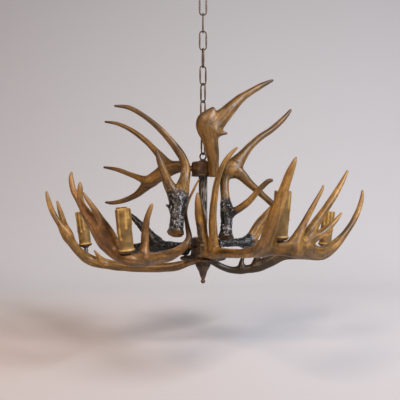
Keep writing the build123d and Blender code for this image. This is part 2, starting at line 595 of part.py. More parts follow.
# --- all the pieces ---
def build():
    """Every piece by the name of its node."""
    pieces = {
        "ceiling_bracket": ceiling_bracket(),
        "ceiling_nipple": tube_between(TUBE_DIAMETER / 2, TUBE_BORE, NIPPLE_FOOT, -NIPPLE_REST),
        "bracket_nut": hex_nut(-BRACKET_THICKNESS),
        "ceiling_canopy": ceiling_canopy(),
        "canopy_loop": canopy_loop(),
        "column_loop": column_loop(),
        "collar_ring": tube_between(RING_DIAMETER / 2, TUBE_HOLE, COLLAR_TOP_Z, RING_TOP),
        "upper_collar": upper_collar(),
        "column_sleeve": column_sleeve(),
        "center_tube": tube_between(TUBE_DIAMETER / 2, TUBE_BORE, TUBE_FOOT, TUBE_TOP),
        "lower_hub": lower_hub(),
        "hub_nut": hex_nut(HUB_TOP_Z - HUB_TOP),
        "hub_plate": hub_plate(),
        "finial": finial(),
    }
    link = chain_link()
    for index, facing in enumerate(LINK_FACING):
        pieces[f"chain_link_{index + 1}"] = Pos(0, 0, -index * LINK_PITCH) * Rot(0, 0, facing) * link

    cuts = {name: [hold_cut(*hold, COLLAR_Z)] for name, hold in COLLAR_HOLDS.items()}
    cuts |= {name: [hold_cut(*hold, HUB_Z)] for name, hold in HUB_HOLDS.items()}
    under = Pos(0, 0, PLATE_FOOT_Z) * Cylinder(
        PLATE_DIAMETER / 2 + SEAT_GAP, PLATE_THICKNESS + SEAT_GAP, align=FROM_BASE)
    for name, (x, y) in PLATE_HOLDS.items():
        pilot = tube_between(SCREW_HOLE / 2, 0, PLATE_FOOT_Z - SCREW_BITE, PLATE_FOOT_Z)
        cuts[name] = [under, Pos(x, y, 0) * pilot]
    for light, name in LIGHT_ANTLERS.items():
        cuts[name] += light_cut(light)
    for group, level in ((UPPER_ANTLERS, COLLAR_Z), (LOWER_ANTLERS, HUB_Z)):
        for name, branches in group.items():
            pieces[name] = antler(branches, level)
            for cut in cuts[name]:
                pieces[name] -= cut

    collar_screws = radial_screws(COLLAR_HOLDS, COLLAR_Z, COLLAR_DIAMETER / 2 - COLLAR_WALL)
    hub_screws = radial_screws(HUB_HOLDS, HUB_Z, HUB_DIAMETER / 2 - HUB_WALL)
    pieces["upper_antler_screws"] = Compound(children=collar_screws)
    pieces["lower_antler_screws"] = Compound(children=hub_screws + plate_screws())

    sleeve, cup, holder = candle_sleeve(), drip_cup(), bulb_holder()
    stems = []
    for light, (_, _, _, depth) in LIGHTS.items():
        place = light_place(light)
        pieces[f"candle_sleeve_{light}"] = place * sleeve
        pieces[f"drip_cup_{light}"] = place * cup
        pieces[f"bulb_holder_{light}"] = place * holder
        stems.append(place * tube_between(TUBE_DIAMETER / 2, TUBE_BORE, -depth, STEM_GRIP))
    pieces["light_stems"] = Compound(children=stems)
    return pieces


os.makedirs("parts", exist_ok=True)
for node, piece in build().items():
    export_step(piece, f"parts/{node}.step")
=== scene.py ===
"""Looks for an antler chandelier: cast resin antlers round a bronzed core, with candle sleeves.

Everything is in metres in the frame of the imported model: the origin is on the ceiling over the
column, +Z is up, and the lamp is seen from -Y. Lengths in the tables are millimetres.
"""
import json
import math

import bpy
import numpy as np
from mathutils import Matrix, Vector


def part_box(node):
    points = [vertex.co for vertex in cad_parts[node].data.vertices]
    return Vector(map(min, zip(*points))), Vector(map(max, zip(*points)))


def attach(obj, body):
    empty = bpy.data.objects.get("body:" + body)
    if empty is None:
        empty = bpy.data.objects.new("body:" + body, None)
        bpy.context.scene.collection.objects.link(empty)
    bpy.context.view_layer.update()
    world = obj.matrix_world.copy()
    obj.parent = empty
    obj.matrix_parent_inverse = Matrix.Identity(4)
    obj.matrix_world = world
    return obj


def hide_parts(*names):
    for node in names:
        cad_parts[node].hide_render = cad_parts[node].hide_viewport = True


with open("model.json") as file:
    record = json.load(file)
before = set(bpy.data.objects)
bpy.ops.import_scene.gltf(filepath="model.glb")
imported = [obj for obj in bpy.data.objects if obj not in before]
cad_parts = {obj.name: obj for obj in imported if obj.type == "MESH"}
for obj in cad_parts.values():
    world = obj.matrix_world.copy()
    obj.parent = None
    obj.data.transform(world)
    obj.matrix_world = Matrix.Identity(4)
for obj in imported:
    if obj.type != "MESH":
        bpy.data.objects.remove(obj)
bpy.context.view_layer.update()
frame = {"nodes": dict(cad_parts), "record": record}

bl_info = {
    "name": "Antler chandelier",
    "version": (1, 0, 0),
    "blender": (4, 5, 0),
    "location": "3D View > Sidebar > Chandelier",
    "description": "Builds the antlers, candles, chain and core of an antler chandelier",
    "category": "Add Mesh",
}

MM = 0.001

# --- levels and sizes that come from the frame ---


def span(node):
    """Lowest and highest corner of a CAD node at rest, in millimetres, as two arrays."""
    low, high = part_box(node)
    return np.array(low) / MM, np.array(high) / MM


COLLAR_LOW, HUB_LOW, PLATE_LOW = (
    span(node)[0][2] for node in ("upper_collar", "lower_hub", "hub_plate"))

# --- the antlers: the same runs as the CAD's, (x, y, height, radius[, half thickness]) ---
# Heights are over the collar's lower rim for the upper four and over the plate for the others.
# Each has its tint, then its dark, pearled stretches of bark, each with two ends (x, y, height),
# how far it reaches from the line between them and how dark it is, and then its runs.
UPPER_ANTLERS = {
    "antler_upper_front_left": ("umber", [
        ((-63, -84, -138), (-60, -50, -72), 44, 1),
        ((-60, -50, -72), (-57, -36, -49), 26, 0.9),
        ((-66, -42, -50), (-80, -45, -28), 20, 0.4),
        ((-57, -36, -49), (-44, -15, -1), 20, 0.3),
    ], [
        [(-63, -84, -138, 18), (-62, -72, -119, 16.5), (-61, -57, -91, 16.5), (-60, -46, -70, 19),
         (-57, -36, -49, 22.5), (-50, -26, -28, 17.5), (-44, -15, -1, 13.5), (-43, -9, 27, 11.5),
         (-56, -9, 55, 10), (-82, -12, 89, 8.5), (-112, -14, 121, 7), (-147, -16, 149, 6),
         (-182, -18, 168, 5.5), (-216, -20, 172, 3)],
        [(-63, -40, -55, 17.5), (-80, -45, -28, 13.5), (-93, -52, 5, 10), (-104, -56, 36, 7),
         (-111, -56, 60, 2.5)],
        [(-70, -53, -83, 5.5), (-80, -53, -76, 3), (-89, -53, -71, 1.5)],
    ]),
    "antler_upper_back_left": ("umber", [], [
        [(-43, 24, 26, 14), (-67, 36, 26, 16), (-90, 48, 21, 20, 16), (-111, 62, 9, 19.5, 15.5),
         (-136, 78, -7, 15.5), (-159, 92, -27, 12), (-183, 106, -46, 8.5), (-218, 118, -61, 6.5),
         (-249, 126, -67, 5), (-269, 130, -66, 3)],
        [(-88, 46, 23, 17, 13.5), (-106, 60, 48, 12.5), (-128, 74, 74, 8.5), (-156, 90, 102, 7.5),
         (-193, 104, 130, 6.5), (-234, 116, 150, 5), (-269, 124, 157, 3)],
        [(-136, 78, -8, 14), (-160, 90, -4, 9.5), (-194, 108, 9, 7), (-238, 126, 25, 5.5),
         (-275, 138, 32, 3)],
    ]),
    "antler_upper_crown": ("umber", [], [
        [(26, -33, -3, 11.5), (26, -37, 30, 13.5), (22, -43, 60, 16.5), (16, -48, 86, 19.5, 15.5),
         (8, -50, 110, 23, 15), (5, -50, 127, 21.5, 14), (10, -50, 141, 14, 10),
         (17, -50, 150, 8, 6)],
        [(22, -50, 115, 21, 13.5), (43, -46, 137, 19.5, 14), (65, -38, 161, 15.5),
         (89, -28, 186, 11.5), (115, -16, 206, 8.5), (147, -2, 227, 6.5), (175, 8, 242, 3)],
        [(24, -50, 103, 11), (42, -50, 101, 5.5), (56, -50, 100, 2.5)],
        [(14, -50, 136, 11), (21, -50, 152, 6.5), (24, -50, 160, 3)],
    ]),
    "antler_upper_right": ("umber", [
        ((54, -46, -151), (58, -16, -84), 40, 1),
    ], [
        [(54, -46, -151, 16.5), (57, -34, -128, 14), (58, -22, -102, 14.5), (58, -14, -82, 16),
         (56, -4, -58, 12.5), (54, 6, -30, 11.5), (55, 14, -4, 12.5), (65, 20, 16, 18.5, 14.5),
         (82, 26, 31, 21, 13.5), (100, 34, 53, 14.5), (122, 42, 79, 10.5), (149, 52, 104, 9),
         (182, 64, 127, 8), (214, 76, 156, 7), (235, 84, 181, 3.5)],
        [(71, 20, 20, 20.5, 13), (95, 16, 6, 14, 11.5), (119, 6, -19, 10), (147, -6, -46, 8.5),
         (172, -18, -70, 7), (195, -28, -91, 2.5)],
        [(61, -20, -93, 12.5), (81, -34, -84, 9.5), (108, -50, -64, 8), (133, -60, -35, 7),
         (151, -66, -17, 6), (161, -69, -13, 4)],
    ]),
}
LOWER_ANTLERS = {
    "antler_lower_left": ("ochre", [], [
        [(-10, 38, -11, 10), (-30, 40.5, -16, 10.5), (-78, 48, -31, 11.5), (-164, 50, -34, 12),
         (-252, 46, -24, 12.5), (-292, 40, -12, 13), (-315, 20, 11, 11.5), (-333, 6, 41, 11),
         (-343, 2, 63, 10.5)],
        [(-339, 4, 52, 10), (-357, -4, 83, 7.5), (-373, -10, 113, 6.5), (-382, -14, 142, 5.5),
         (-385.8, -16, 162, 3)],
        [(-339, 6, 54, 9), (-352, 16, 85, 7), (-364, 26, 111, 6), (-374, 32, 138, 3)],
        [(-257, 42, -19, 8), (-267, 30, -2, 5), (-276, 22, 13, 2.5)],
    ]),
    "antler_lower_front_left": ("russet", [], [
        [(-220, -176, 80, 18, 10.5), (-204, -176, 53, 19.5, 11.5), (-181, -184, 30, 15.5, 12.5),
         (-149, -214, 21, 14), (-114, -162, 15, 14), (-80, -104, 16, 13), (-60, -72, 22, 11.5),
         (-44, -52, 34, 9.5), (-34, -42, 52, 8), (-38, -34, 78, 6), (-43, -26, 110, 4.5),
         (-37, -23, 138, 3.5), (-22, -25, 170, 3), (-10, -28, 193, 2)],
        [(-206, -177, 58, 14, 10), (-224, -175, 87, 14, 9.5), (-247, -174, 112, 10),
         (-266, -168, 141, 8), (-280, -162, 164, 7), (-286, -158, 187, 5.5),
         (-286, -156, 202, 2.5)],
        [(-212, -178, 68, 13, 9.5), (-234, -180, 96, 12, 9.5), (-249, -188, 118, 9),
         (-257, -194, 144, 6.5), (-257, -196, 167, 5.5), (-257, -196, 178, 2.5)],
        [(-196, -178, 58, 12, 9), (-208, -180, 80, 11, 9), (-217, -192, 105, 7.5),
         (-230, -204, 130, 5.5), (-240, -210, 146, 4), (-246, -213, 157, 2)],
        [(-126, -184, 20, 11), (-125, -182, 45, 9), (-123, -184, 72, 8), (-119, -190, 101, 6.5),
         (-111, -196, 124, 5), (-107, -198, 134, 2.5)],
    ]),
    "antler_lower_back_left": ("smoked", [
        ((-41, 32, 19), (-170, 130, 9), 60, 1),
        ((-133, 98, 19), (-173, 112, 77), 40, 1),
    ], [
        [(-41, 32, 19, 18), (-65, 48, 17, 17.5), (-98, 70, 17, 17), (-133, 98, 19, 19),
         (-170, 130, 9, 15.5), (-213, 158, 4, 13), (-254, 185, 10, 11.5), (-292, 208, 33, 8.5),
         (-316, 226, 61, 6.5), (-334, 238, 83, 3.5)],
        [(-124, 94, 26, 17), (-150, 104, 53, 13.5), (-173, 112, 77, 9.5), (-197, 118, 99, 6.5),
         (-221, 125, 114, 3)],
        [(-158, 124, 9, 14), (-161, 178, -1, 13.5), (-147, 232, -6, 11.5), (-124, 282, -2, 9),
         (-102, 318, 7, 4)],
    ]),
    "antler_lower_front_right": ("ochre", [
        ((-3, -55, 30), (-8, -61, 80), 18, 0.6),
    ], [
        [(1, -46, 22, 12), (21, -62, 19, 13.5), (48, -96, 21, 11.5), (80, -158, 27, 10),
         (100, -214, 36, 11.5), (116, -266, 49, 14.5, 11), (136, -299, 53, 14, 10),
         (163, -304, 54, 16.5, 10), (191, -286, 49, 17, 10), (219, -262, 40, 14.5, 10),
         (244, -240, 44, 10.5), (274, -220, 61, 8), (302, -202, 87, 6.5), (323, -190, 118, 5.5),
         (334, -183, 147, 4), (336, -180, 162, 2.5)],
        [(25, -64, 19, 12), (24, -76, 58, 10.5), (22, -84, 100, 9.5), (25, -90, 142, 8.5),
         (32, -94, 186, 7), (45, -97, 222, 6), (62, -99, 247, 5), (77, -100, 262, 2.5)],
        [(7, -52, 18, 11.5), (-1, -57, 59, 12), (-7, -60, 102, 12.5), (-11, -62, 134, 9),
         (-13, -62, 158, 3)],
        [(112, -270, 49, 14), (116, -296, 62, 14), (119, -315, 78, 14, 11),
         (125, -328, 101, 14, 10), (131, -338, 131, 11.5, 9), (140, -345, 160, 9),
         (149, -349, 188, 7), (156, -352, 206, 4.5), (160, -353, 217, 1.5)],
        [(167, -304, 51, 11), (172, -302, 72, 9.5), (187, -296, 100, 6), (207, -289, 134, 4.5),
         (221, -284, 157, 3.5), (227, -282, 170, 2)],
        [(185, -288, 53, 12, 10), (195, -275, 73, 10), (227, -246, 106, 8.5), (260, -219, 143, 7),
         (285, -203, 178, 5), (300, -195, 203, 2.5)],
        [(187, -286, 53, 11.5, 9), (204, -276, 67, 9), (229, -262, 78, 7.5), (256, -248, 98, 5),
         (274, -240, 117, 2)],
    ]),
    "antler_lower_back_right": ("ochre", [
        ((39, 36, 31), (107, 78, 29), 38, 1),
    ], [
        [(39, 36, 31, 11), (71, 54, 31, 10.5), (107, 78, 29, 12), (145, 112, 19, 14.5),
         (197, 164, 9, 13.5), (244, 204, 11, 12.5), (289, 236, 28, 9.5), (324, 258, 50, 7),
         (346, 270, 73, 3.5)],
        [(115, 84, 27, 14, 13), (135, 96, 45, 16, 13), (155, 104, 74, 15.5, 12),
         (177, 110, 102, 12, 10), (198, 116, 127, 7.5), (213, 120, 141, 3)],
        [(164, 128, 13, 14), (176, 180, 1, 13.5), (169, 232, -5, 12), (151, 282, -2, 9.5),
         (128, 318, 5, 4)],
    ]),
    "antler_lower_right": ("ochre", [], [
        [(10, 38, -11, 9.5), (26, 40, -16, 9.5), (44, 44, -28, 8.5), (75, 46, -39, 8.5),
         (111, 42, -37, 10), (142, 38, -30, 13), (172, 34, -14, 15.5), (208, 30, 3, 14),
         (256, 26, 3, 12), (299, 25, 2, 12), (330, 28, 15, 10), (360, 32, 47, 7.5),
         (383, 36, 80, 5.5), (401.8, 40, 123, 2.5)],
        [(101, 44, -37, 8), (101, 46, -17, 5.5), (111, 50, 8, 2.5)],
        [(137, 38, -28, 9.5), (140, 46, -9, 7), (164, 60, 12, 2.5)],
        [(305, 28, 4, 9), (321, 60, 14, 8), (326, 95, 38, 6), (340, 128, 74, 3)],
    ]),
}
# Stretches painted smooth and dark as shade, where the antler lies in shadow under the plate and
# hub, in the same terms as the bark
PAINTED_SHADE_RUNS = {
    "antler_lower_right": [((21, 38, -15), (142, 38, -30), 60, 0.97),
                           ((142, 38, -30), (190, 32, -6), 50, 0.85)],
}
# Antlers that end in a burr, and the one whose run starts inside its own palm
BURRED = ("antler_upper_front_left", "antler_upper_right")
FUSED_PALM = "antler_lower_front_left"
# Where each light stands (x, y, height over the plate) and the antler that carries it
LIGHTS = {
    "front_left": (-157, -215, 37.5, "antler_lower_front_left"),
    "left": (-304, 42, 25, "antler_lower_left"),
    "front_right": (140, -300, 72, "antler_lower_front_right"),
    "right": (311, 25, 27, "antler_lower_right"),
    "back_right": (232, 190, 34, "antler_lower_back_right"),
    "back_left": (-225, 167, 34, "antler_lower_back_left"),
}
# How far each light leans outwards
LEAN = math.radians(7.5)
# The room that a light's cup needs about its foot: radius, and from which height to which
CUP_REACH, CUP_SEAT, CUP_TOP = 18.2, -6.1, 20
# The room of the round plate for the two antlers under it: radius and gap
PLATE_REACH, PLATE_GAP = 58, 0.1
UNDER_PLATE = ("antler_lower_left", "antler_lower_right")

SLEEVE_RADIUS, SLEEVE_BORE, SLEEVE_HEIGHT = 15.0, 12.5, 87.0
# How many runs of wax a sleeve has, and the heights of the top of its foot's round edge and of
# the ring half way down its bore
WAX_RUNS, FOOT_EDGE, BORE_MIDDLE = 9, 3.2, 40

# The way each link of the chain faces, in degrees, and the links' width; how much thicker
# their wire is along the sides and at the weld, as shares of it, and the room left round it
LINK_FACING = (0, 90, 8, 100, 32, 128, 50, 142, 62)
LINK_WIDTH = 20.0
SIDE_SWELL, WELD_SWELL, WIRE_GAP = 0.3, 0.1, 0.02


# --- small tools ---
def linear(colour):
    """An sRGB hex colour as linear RGBA."""
    parts = [int(colour[i:i + 2], 16) / 255 for i in (1, 3, 5)]
    return [c / 12.92 if c <= 0.04045 else ((c + 0.055) / 1.055) ** 2.4 for c in parts] + [1.0]


def tone(colour, share=1):
    """A linear colour times a share of it, or of each of its channels, as RGBA."""
    return [min(1.0, c) for c in np.array(colour[:3]) * share] + [1.0]


def shades(colour, shares):
    """The stops of a colour ramp, from shares of one colour by their places on the ramp."""
    return [(place, tone(colour, share)) for place, share in shares.items()]


def connect(tree, node, **links):
    """Fills a node's inputs, given by name, or by number after an i. Each takes a value, a
    socket, or a node, which stands for its first output in use."""
    for key, value in links.items():
        numbered = key[0] == "i" and key[1:].isdigit()
        socket = node.inputs[int(key[1:]) if numbered else key.replace("_", " ")]
        if isinstance(value, bpy.types.Node):
            value = next(output for output in value.outputs if output.enabled)
        if isinstance(value, bpy.types.NodeSocket):
            tree.links.new(value, socket)
        else:
            socket.default_value = value


def add_node(tree, kind, settings=None, **links):
    """Adds a shader node, sets its attributes or its ramp's stops, and fills its inputs."""
    node = tree.nodes.new("ShaderNode" + kind)
    for key, value in (settings or {}).items():
        if key != "stops":
            setattr(node, key, value)
            continue
        band = node.color_ramp.elements
        while len(band) < len(value):
            band.new(0.5)
        for element, (place, colour) in zip(band, value):
            element.position = place
            element.color = colour
    connect(tree, node, **links)
    return node


def new_material(name):
    """A material that uses nodes, with its tree and its shader."""
    material = bpy.data.materials.new(name)
    material.use_nodes = True
    return material, material.node_tree, material.node_tree.nodes["Principled BSDF"]


def add_piece(name, mesh, material=None, **attributes):
    """A smooth-shaded object at the origin, with its material and its points' attributes."""
    mesh.polygons.foreach_set("use_smooth", np.ones(len(mesh.polygons), dtype=bool))
    for key, values in attributes.items():
        vector = np.ndim(values) == 2
        layer = mesh.attributes.new(key, "FLOAT_VECTOR" if vector else "FLOAT", "POINT")
        layer.data.foreach_set("vector" if vector else "value",
                               np.ravel(values).astype(np.float32))
    if material:
        mesh.materials.append(material)
    piece = bpy.data.objects.new(name, mesh)
    bpy.context.scene.collection.objects.link(piece)
    return piece


def mesh_piece(name, points, faces, material=None, **attributes):
    """A mesh made into such a piece, from its points in millimetres and its faces."""
    mesh = bpy.data.meshes.new(name)
    mesh.from_pydata((np.asarray(points) * MM).tolist(), [], [list(map(int, f)) for f in faces])
    mesh.update()
    return add_piece(name, mesh, material, **attributes)


def grid_faces(rows, columns, looped=False):
    """Quads of a grid whose columns close round, as its rows do too where it is looped."""
    row, column = np.meshgrid(np.arange(rows if looped else rows - 1), np.arange(columns),
                              indexing="ij")
    this, above = row * columns, (row + 1) % rows * columns
    beside = (column + 1) % columns
    corners = [this + column, this + beside, above + beside, above + column]
    return np.stack(corners, -1).reshape(-1, 4)


def end_fans(rows, columns):
    """Triangles that close both ends of such a grid on two points that follow its own."""
    here = np.arange(columns)
    beside = (here + 1) % columns
    last, middle = (rows - 1) * columns, rows * columns
    root = np.stack([np.full(columns, middle), beside, here], -1)
    tip = np.stack([np.full(columns, middle + 1), last + here, last + beside], -1)
    return np.vstack([root, tip])


def value_noise(points, scale, seed):
    """Smooth noise in -1..1: numbers hashed from the cells of a lattice, blended by a cubic step
    between them."""
    place = np.asarray(points) / scale + 1000.5 + 17.3 * seed
    cell = np.floor(place).astype(np.int64)
    part = place - cell
    part = part * part * (3 - 2 * part)
    total = np.zeros(len(place))
    for corner in np.ndindex(2, 2, 2):
        corner = np.array(corner)
        key = (cell + corner) @ np.array([73856093, 19349663, 83492791]) + seed * 1013904223
        key = (key ^ (key >> 13)) * 1274126177 & 0xFFFFFFFF
        key = (key ^ (key >> 16)) & 0xFFFF
        total += np.prod(np.where(corner, part, 1 - part), axis=1) * key / 32767.5
    return total - 1.0


def smooth_step(low, high, value):
    """0 below low, 1 above high, and an S curve between."""
    t = np.clip((value - low) / (high - low), 0, 1)
    return t * t * (3 - 2 * t)


def circle(around):
    """Angles once round a circle."""
    return np.linspace(0, 2 * np.pi, around, endpoint=False)


def about_axis(radius, angle, height):
    """Points at a radius and an angle about the Z axis, and a height."""
    spots = radius * np.cos(angle), radius * np.sin(angle), height
    return np.stack(np.broadcast_arrays(*spots), -1)


def rings_about(line, across, over, wide, thin, around):
    """Oval rings about a line: line + across wide cos t + over thin sin t."""
    turn = circle(around)
    return (line[:, None] + across[:, None] * (wide[:, None] * np.cos(turn))[..., None]
            + over[:, None] * (thin[:, None] * np.sin(turn))[..., None])


# --- antler surfaces ---
# Distances between the stations of a run, for its coarse tube and for its field
TUBE_STEP, FIELD_STEP = 8.0, 2.0
# How often the fused mesh is drawn on to the field, and how far it may move each time
DRAWS, LONGEST_DRAW = 3, 4
TINY = 1e-9
# How far from a tine's tip, in millimetres, its grooves fade and its colour wears: wholly
# within the first, and not at all past the second
GROOVE_FADE, TIP_WEAR = (10, 90), (8, 55)
# How far apart the grain of two branches starts, so that they don't show the same streaks
GRAIN_SHIFT = 400


def along(stations, step):
    """Stations on a curve through the given ones (Catmull-Rom), about step apart."""
    full = np.array([(*s[:4], s[4] if len(s) > 4 else s[3]) for s in stations], float)
    ends = np.vstack([full[:1], full, full[-1:]])
    run = [full[:1]]
    for a, b, c, d in zip(ends, ends[1:], ends[2:], ends[3:]):
        count = max(1, round(np.linalg.norm(c[:3] - b[:3]) / step))
        t = (np.arange(1, count + 1) / count)[:, None]
        run.append(0.5 * (2 * b + (c - a) * t + (2 * a - 5 * b + 4 * c - d) * t ** 2
                          + (3 * b - a - 3 * c + d) * t ** 3))
    return np.vstack(run)


def run_frames(points):
    """Along, wide and thin directions at each point, carried along without twist."""
    ahead = np.gradient(points, axis=0)
    ahead /= np.linalg.norm(ahead, axis=1)[:, None]
    thin = np.zeros_like(points)
    last = np.array([0.0, 1.0, 0.0])
    for i, way in enumerate(ahead):
        last = last - way * (last @ way)
        last /= np.linalg.norm(last)
        thin[i] = last
    return ahead, np.cross(thin, ahead), thin


def branch_tube(run, around=14):
    """A closed tube: oval rings of points about the run, a middle point at its root, and one
    0.8 of a radius past its tip."""
    ahead, wide, thin = run_frames(run[:, :3])
    rings = rings_about(run[:, :3], wide, thin, run[:, 3], run[:, 4], around)
    tip = run[-1, :3] + ahead[-1] * run[-1, 3] * 0.8
    points = np.vstack([rings.reshape(-1, 3), run[:1, :3], [tip]])
    return points, [*grid_faces(len(run), around), *end_fans(len(run), around)]


def branch_field(points, run, frames, lengths, sawn):
    """How far points are outside one branch, the way out, and their place along and round it.

    The nearest cross-section is the one that minimises distance less radius. In its plane the
    section is the oval x = a cos t, y = b sin t, and the distance is q (q - 1) / |(x/a2, y/b2)|
    with q = |(x/a, y/b)|. Past an end the section shrinks as a sphere, but a sawn root is flat.
    """
    ahead, wide, thin = frames
    centre, radius, half = run[:, :3], run[:, 3], run[:, 4]
    squares = (points ** 2).sum(1)[:, None] + (centre ** 2).sum(1) - 2 * points @ centre.T
    reach = np.sqrt(np.maximum(squares, 0)) - np.minimum(radius, half)
    near = np.argmin(reach, axis=1)
    offset = points - centre[near]
    t = (offset * ahead[near]).sum(1)
    x = (offset * wide[near]).sum(1)
    y = (offset * thin[near]).sum(1)
    a, b = radius[near], half[near]
    past = np.where(near == len(run) - 1, np.maximum(t, 0), 0)
    before = np.where(near == 0, np.maximum(-t, 0), 0)
    if not sawn:
        past = past - before
        before = 0 * before
    q = np.sqrt((x / a) ** 2 + (y / b) ** 2 + (past / b) ** 2) + TINY
    slope = np.sqrt((x / a ** 2) ** 2 + (y / b ** 2) ** 2 + (past / b ** 2) ** 2) + TINY
    distance = q * (q - 1) / slope
    out = (wide[near] * (x / a ** 2)[:, None] + thin[near] * (y / b ** 2)[:, None]
           + ahead[near] * (past / b ** 2)[:, None])
    out /= np.linalg.norm(out, axis=1)[:, None] + TINY
    flat = (before > distance) & (before > 0)
    distance = np.where(flat, before, distance)
    out = np.where(flat[:, None], -ahead[near], out)
    return distance, out, np.stack([lengths[near] + t, x, y], -1)


def fused_mesh(name, branches, shift, voxel):
    """Coarse tubes about the branches, fused into one closed mesh of cells of a given size."""
    points, faces = [], []
    for stations in branches:
        tube, skin = branch_tube(along(stations, TUBE_STEP) + shift)
        base = sum(len(p) for p in points)
        points.append(tube)
        faces += [face + base for face in skin]
    piece = mesh_piece(name, np.vstack(points), faces)
    fuse = piece.modifiers.new("fuse", "REMESH")
    fuse.mode = "VOXEL"
    fuse.voxel_size = voxel * MM
    ease = piece.modifiers.new("ease", "SMOOTH")
    ease.factor = 0.5
    ease.iterations = 3
    graph = bpy.context.evaluated_depsgraph_get()
    mesh = bpy.data.meshes.new_from_object(piece.evaluated_get(graph))
    bpy.data.objects.remove(piece)
    return mesh


def blended_field(points, parts, fillet):
    """The field -k log(sum(exp(-d / k))) over the branches' distances d, which rounds the forks
    with a radius of about k, with its way out, each branch's share and the places in them."""
    fields = [branch_field(points, *part) for part in parts]
    away = np.stack([f[0] for f in fields])
    share = np.exp(-(away - away.min(0)) / fillet)
    total = share.sum(0)
    share /= total
    out = sum(w[:, None] * f[1] for w, f in zip(share, fields))
    out /= np.linalg.norm(out, axis=1)[:, None] + TINY
    return away.min(0) - fillet * np.log(total), out, share, [f[2] for f in fields]


def antler_surface(name, branches, level, settings, sawn):
    """One antler as a closed mesh: tubes fused, then drawn on to the blended field.

    Returns the mesh, its points, the way out, and for each branch its share of every point
    and the point's place in it; then the horn's thickness there and the way left to the tip.
    """
    shift = np.array([0, 0, level, 0, 0])
    mesh = fused_mesh(name, branches, shift, settings.voxel / MM)
    spots = np.empty(len(mesh.vertices) * 3)
    mesh.vertices.foreach_get("co", spots)
    spots = spots.reshape(-1, 3) / MM
    parts = []
    for index, stations in enumerate(branches):
        run = along(stations, FIELD_STEP) + shift
        steps = np.linalg.norm(np.diff(run[:, :3], axis=0), axis=1)
        parts.append((run, run_frames(run[:, :3]), np.concatenate([[0], np.cumsum(steps)]),
                      sawn and index == 0))
    for _ in range(DRAWS):
        field, out, _, _ = blended_field(spots, parts, settings.fillet / MM)
        spots = spots - out * np.clip(field, -LONGEST_DRAW, LONGEST_DRAW)[:, None]
    _, out, share, places = blended_field(spots, parts, settings.fillet / MM)
    girth = sum(w * np.interp(place[:, 0], part[2], part[0][:, 3:].min(1))
                for w, place, part in zip(share, places, parts))
    left = sum(w * (part[2][-1] - place[:, 0]) for w, place, part in zip(share, places, parts))
    return mesh, spots, out, share, places, girth, left


def stretch_share(points, stretches, level):
    """The strength of given stretches of an antler, falling to 0 over their last third, whose
    edge wanders by up to 5 mm."""
    share = np.zeros(len(points))
    for start, end, reach, strength in stretches:
        a = np.array(start, float) + (0, 0, level)
        b = np.array(end, float) + (0, 0, level)
        t = np.clip((points - a) @ (b - a) / ((b - a) @ (b - a)), 0, 1)
        away = np.linalg.norm(points - a - t[:, None] * (b - a), axis=1)
        away += 5 * value_noise(points, 14, 5)
        share = np.maximum(share, strength * (1 - smooth_step(0.66 * reach, reach, away)))
    return share


def grain_noise(share, places, stretch, scale, seed):
    """Noise drawn out along the horn by stretch, blended over the branches by their shares."""
    total = np.zeros(share.shape[1])
    for index, (weight, place) in enumerate(zip(share, places)):
        near = weight > 0.02
        long = place[near] * (1 / stretch, 1, 1)
        total[near] += weight[near] * value_noise(long, scale, seed + 20 * index)
    return total


def carve_relief(points, out, share, places, girth, left, bark, settings):
    """Raises and sinks the surface along its normal, and returns it with the hollows.

    Everywhere: a slow swell, grooves of about 8 by 90 mm and ribs of 3 by 42 mm along the
    horn, fading at the tips. On bark: ridges of 5 by 17 mm and pearls about 5 mm across.
    """
    fade = smooth_step(*GROOVE_FADE, left)
    size = np.clip(girth / 13, 0.2, 1.3)
    swell = value_noise(points, 38, 1) + 0.5 * value_noise(points, 15, 7)
    groove = 1 - 2.6 * np.abs(grain_noise(share, places, 11, 8.0, 2))
    groove = np.clip(groove, 0, 1) ** 1.5
    rib = grain_noise(share, places, 15, 2.8, 3)
    ridge = grain_noise(share, places, 3.4, 5.0, 4)
    pearl = np.clip(value_noise(points, 5.0, 6) - 0.05, 0, 1) ** 0.7
    plain = -groove * settings.groove_depth / MM * fade - 0.3 * rib * (0.3 + 0.7 * fade)
    rough = 0.9 * ridge + (pearl - 0.3) * settings.pearl_height / MM
    high = (swell + plain * (1 - bark)) * size + rough * bark * np.clip(size, 0.4, 1)
    # the hollows: grooves, sunk ribs and sunken bark, which the material darkens with stain and
    # painted shade
    hollow = ((1 - bark) * (0.62 * groove * fade + 0.45 * np.clip(-rib, 0, 1))
              + bark * smooth_step(0.5, -0.9, rough))
    return points + out * high[:, None], hollow


def burr_bulge(points, out, share, places, bark):
    """The knobbly ring at a burr, exp(-((s - 4) / 4) ** 2) high over the way s from the sawn
    end, whose face is bare of bark."""
    way = places[0][:, 0]
    ring = share[0] * np.exp(-((way - 4) / 4) ** 2) * smooth_step(-0.5, 1.5, way)
    knobs = 2.6 + 1.8 * value_noise(points, 6.0, 8)
    bare = share[0] * smooth_step(1.6, 0.4, way)
    return points + out * (ring * knobs)[:, None], bark * (1 - bare)


# Shares of the horn's own colour, by channel: its stain, which is also the painted shade in its
# grooves and under the plate, and its deep and rubbed tones
STAIN_AND_SHADE, DEEP, RUBBED = 0.07, 0.42, (2.1, 2.3, 3.4)


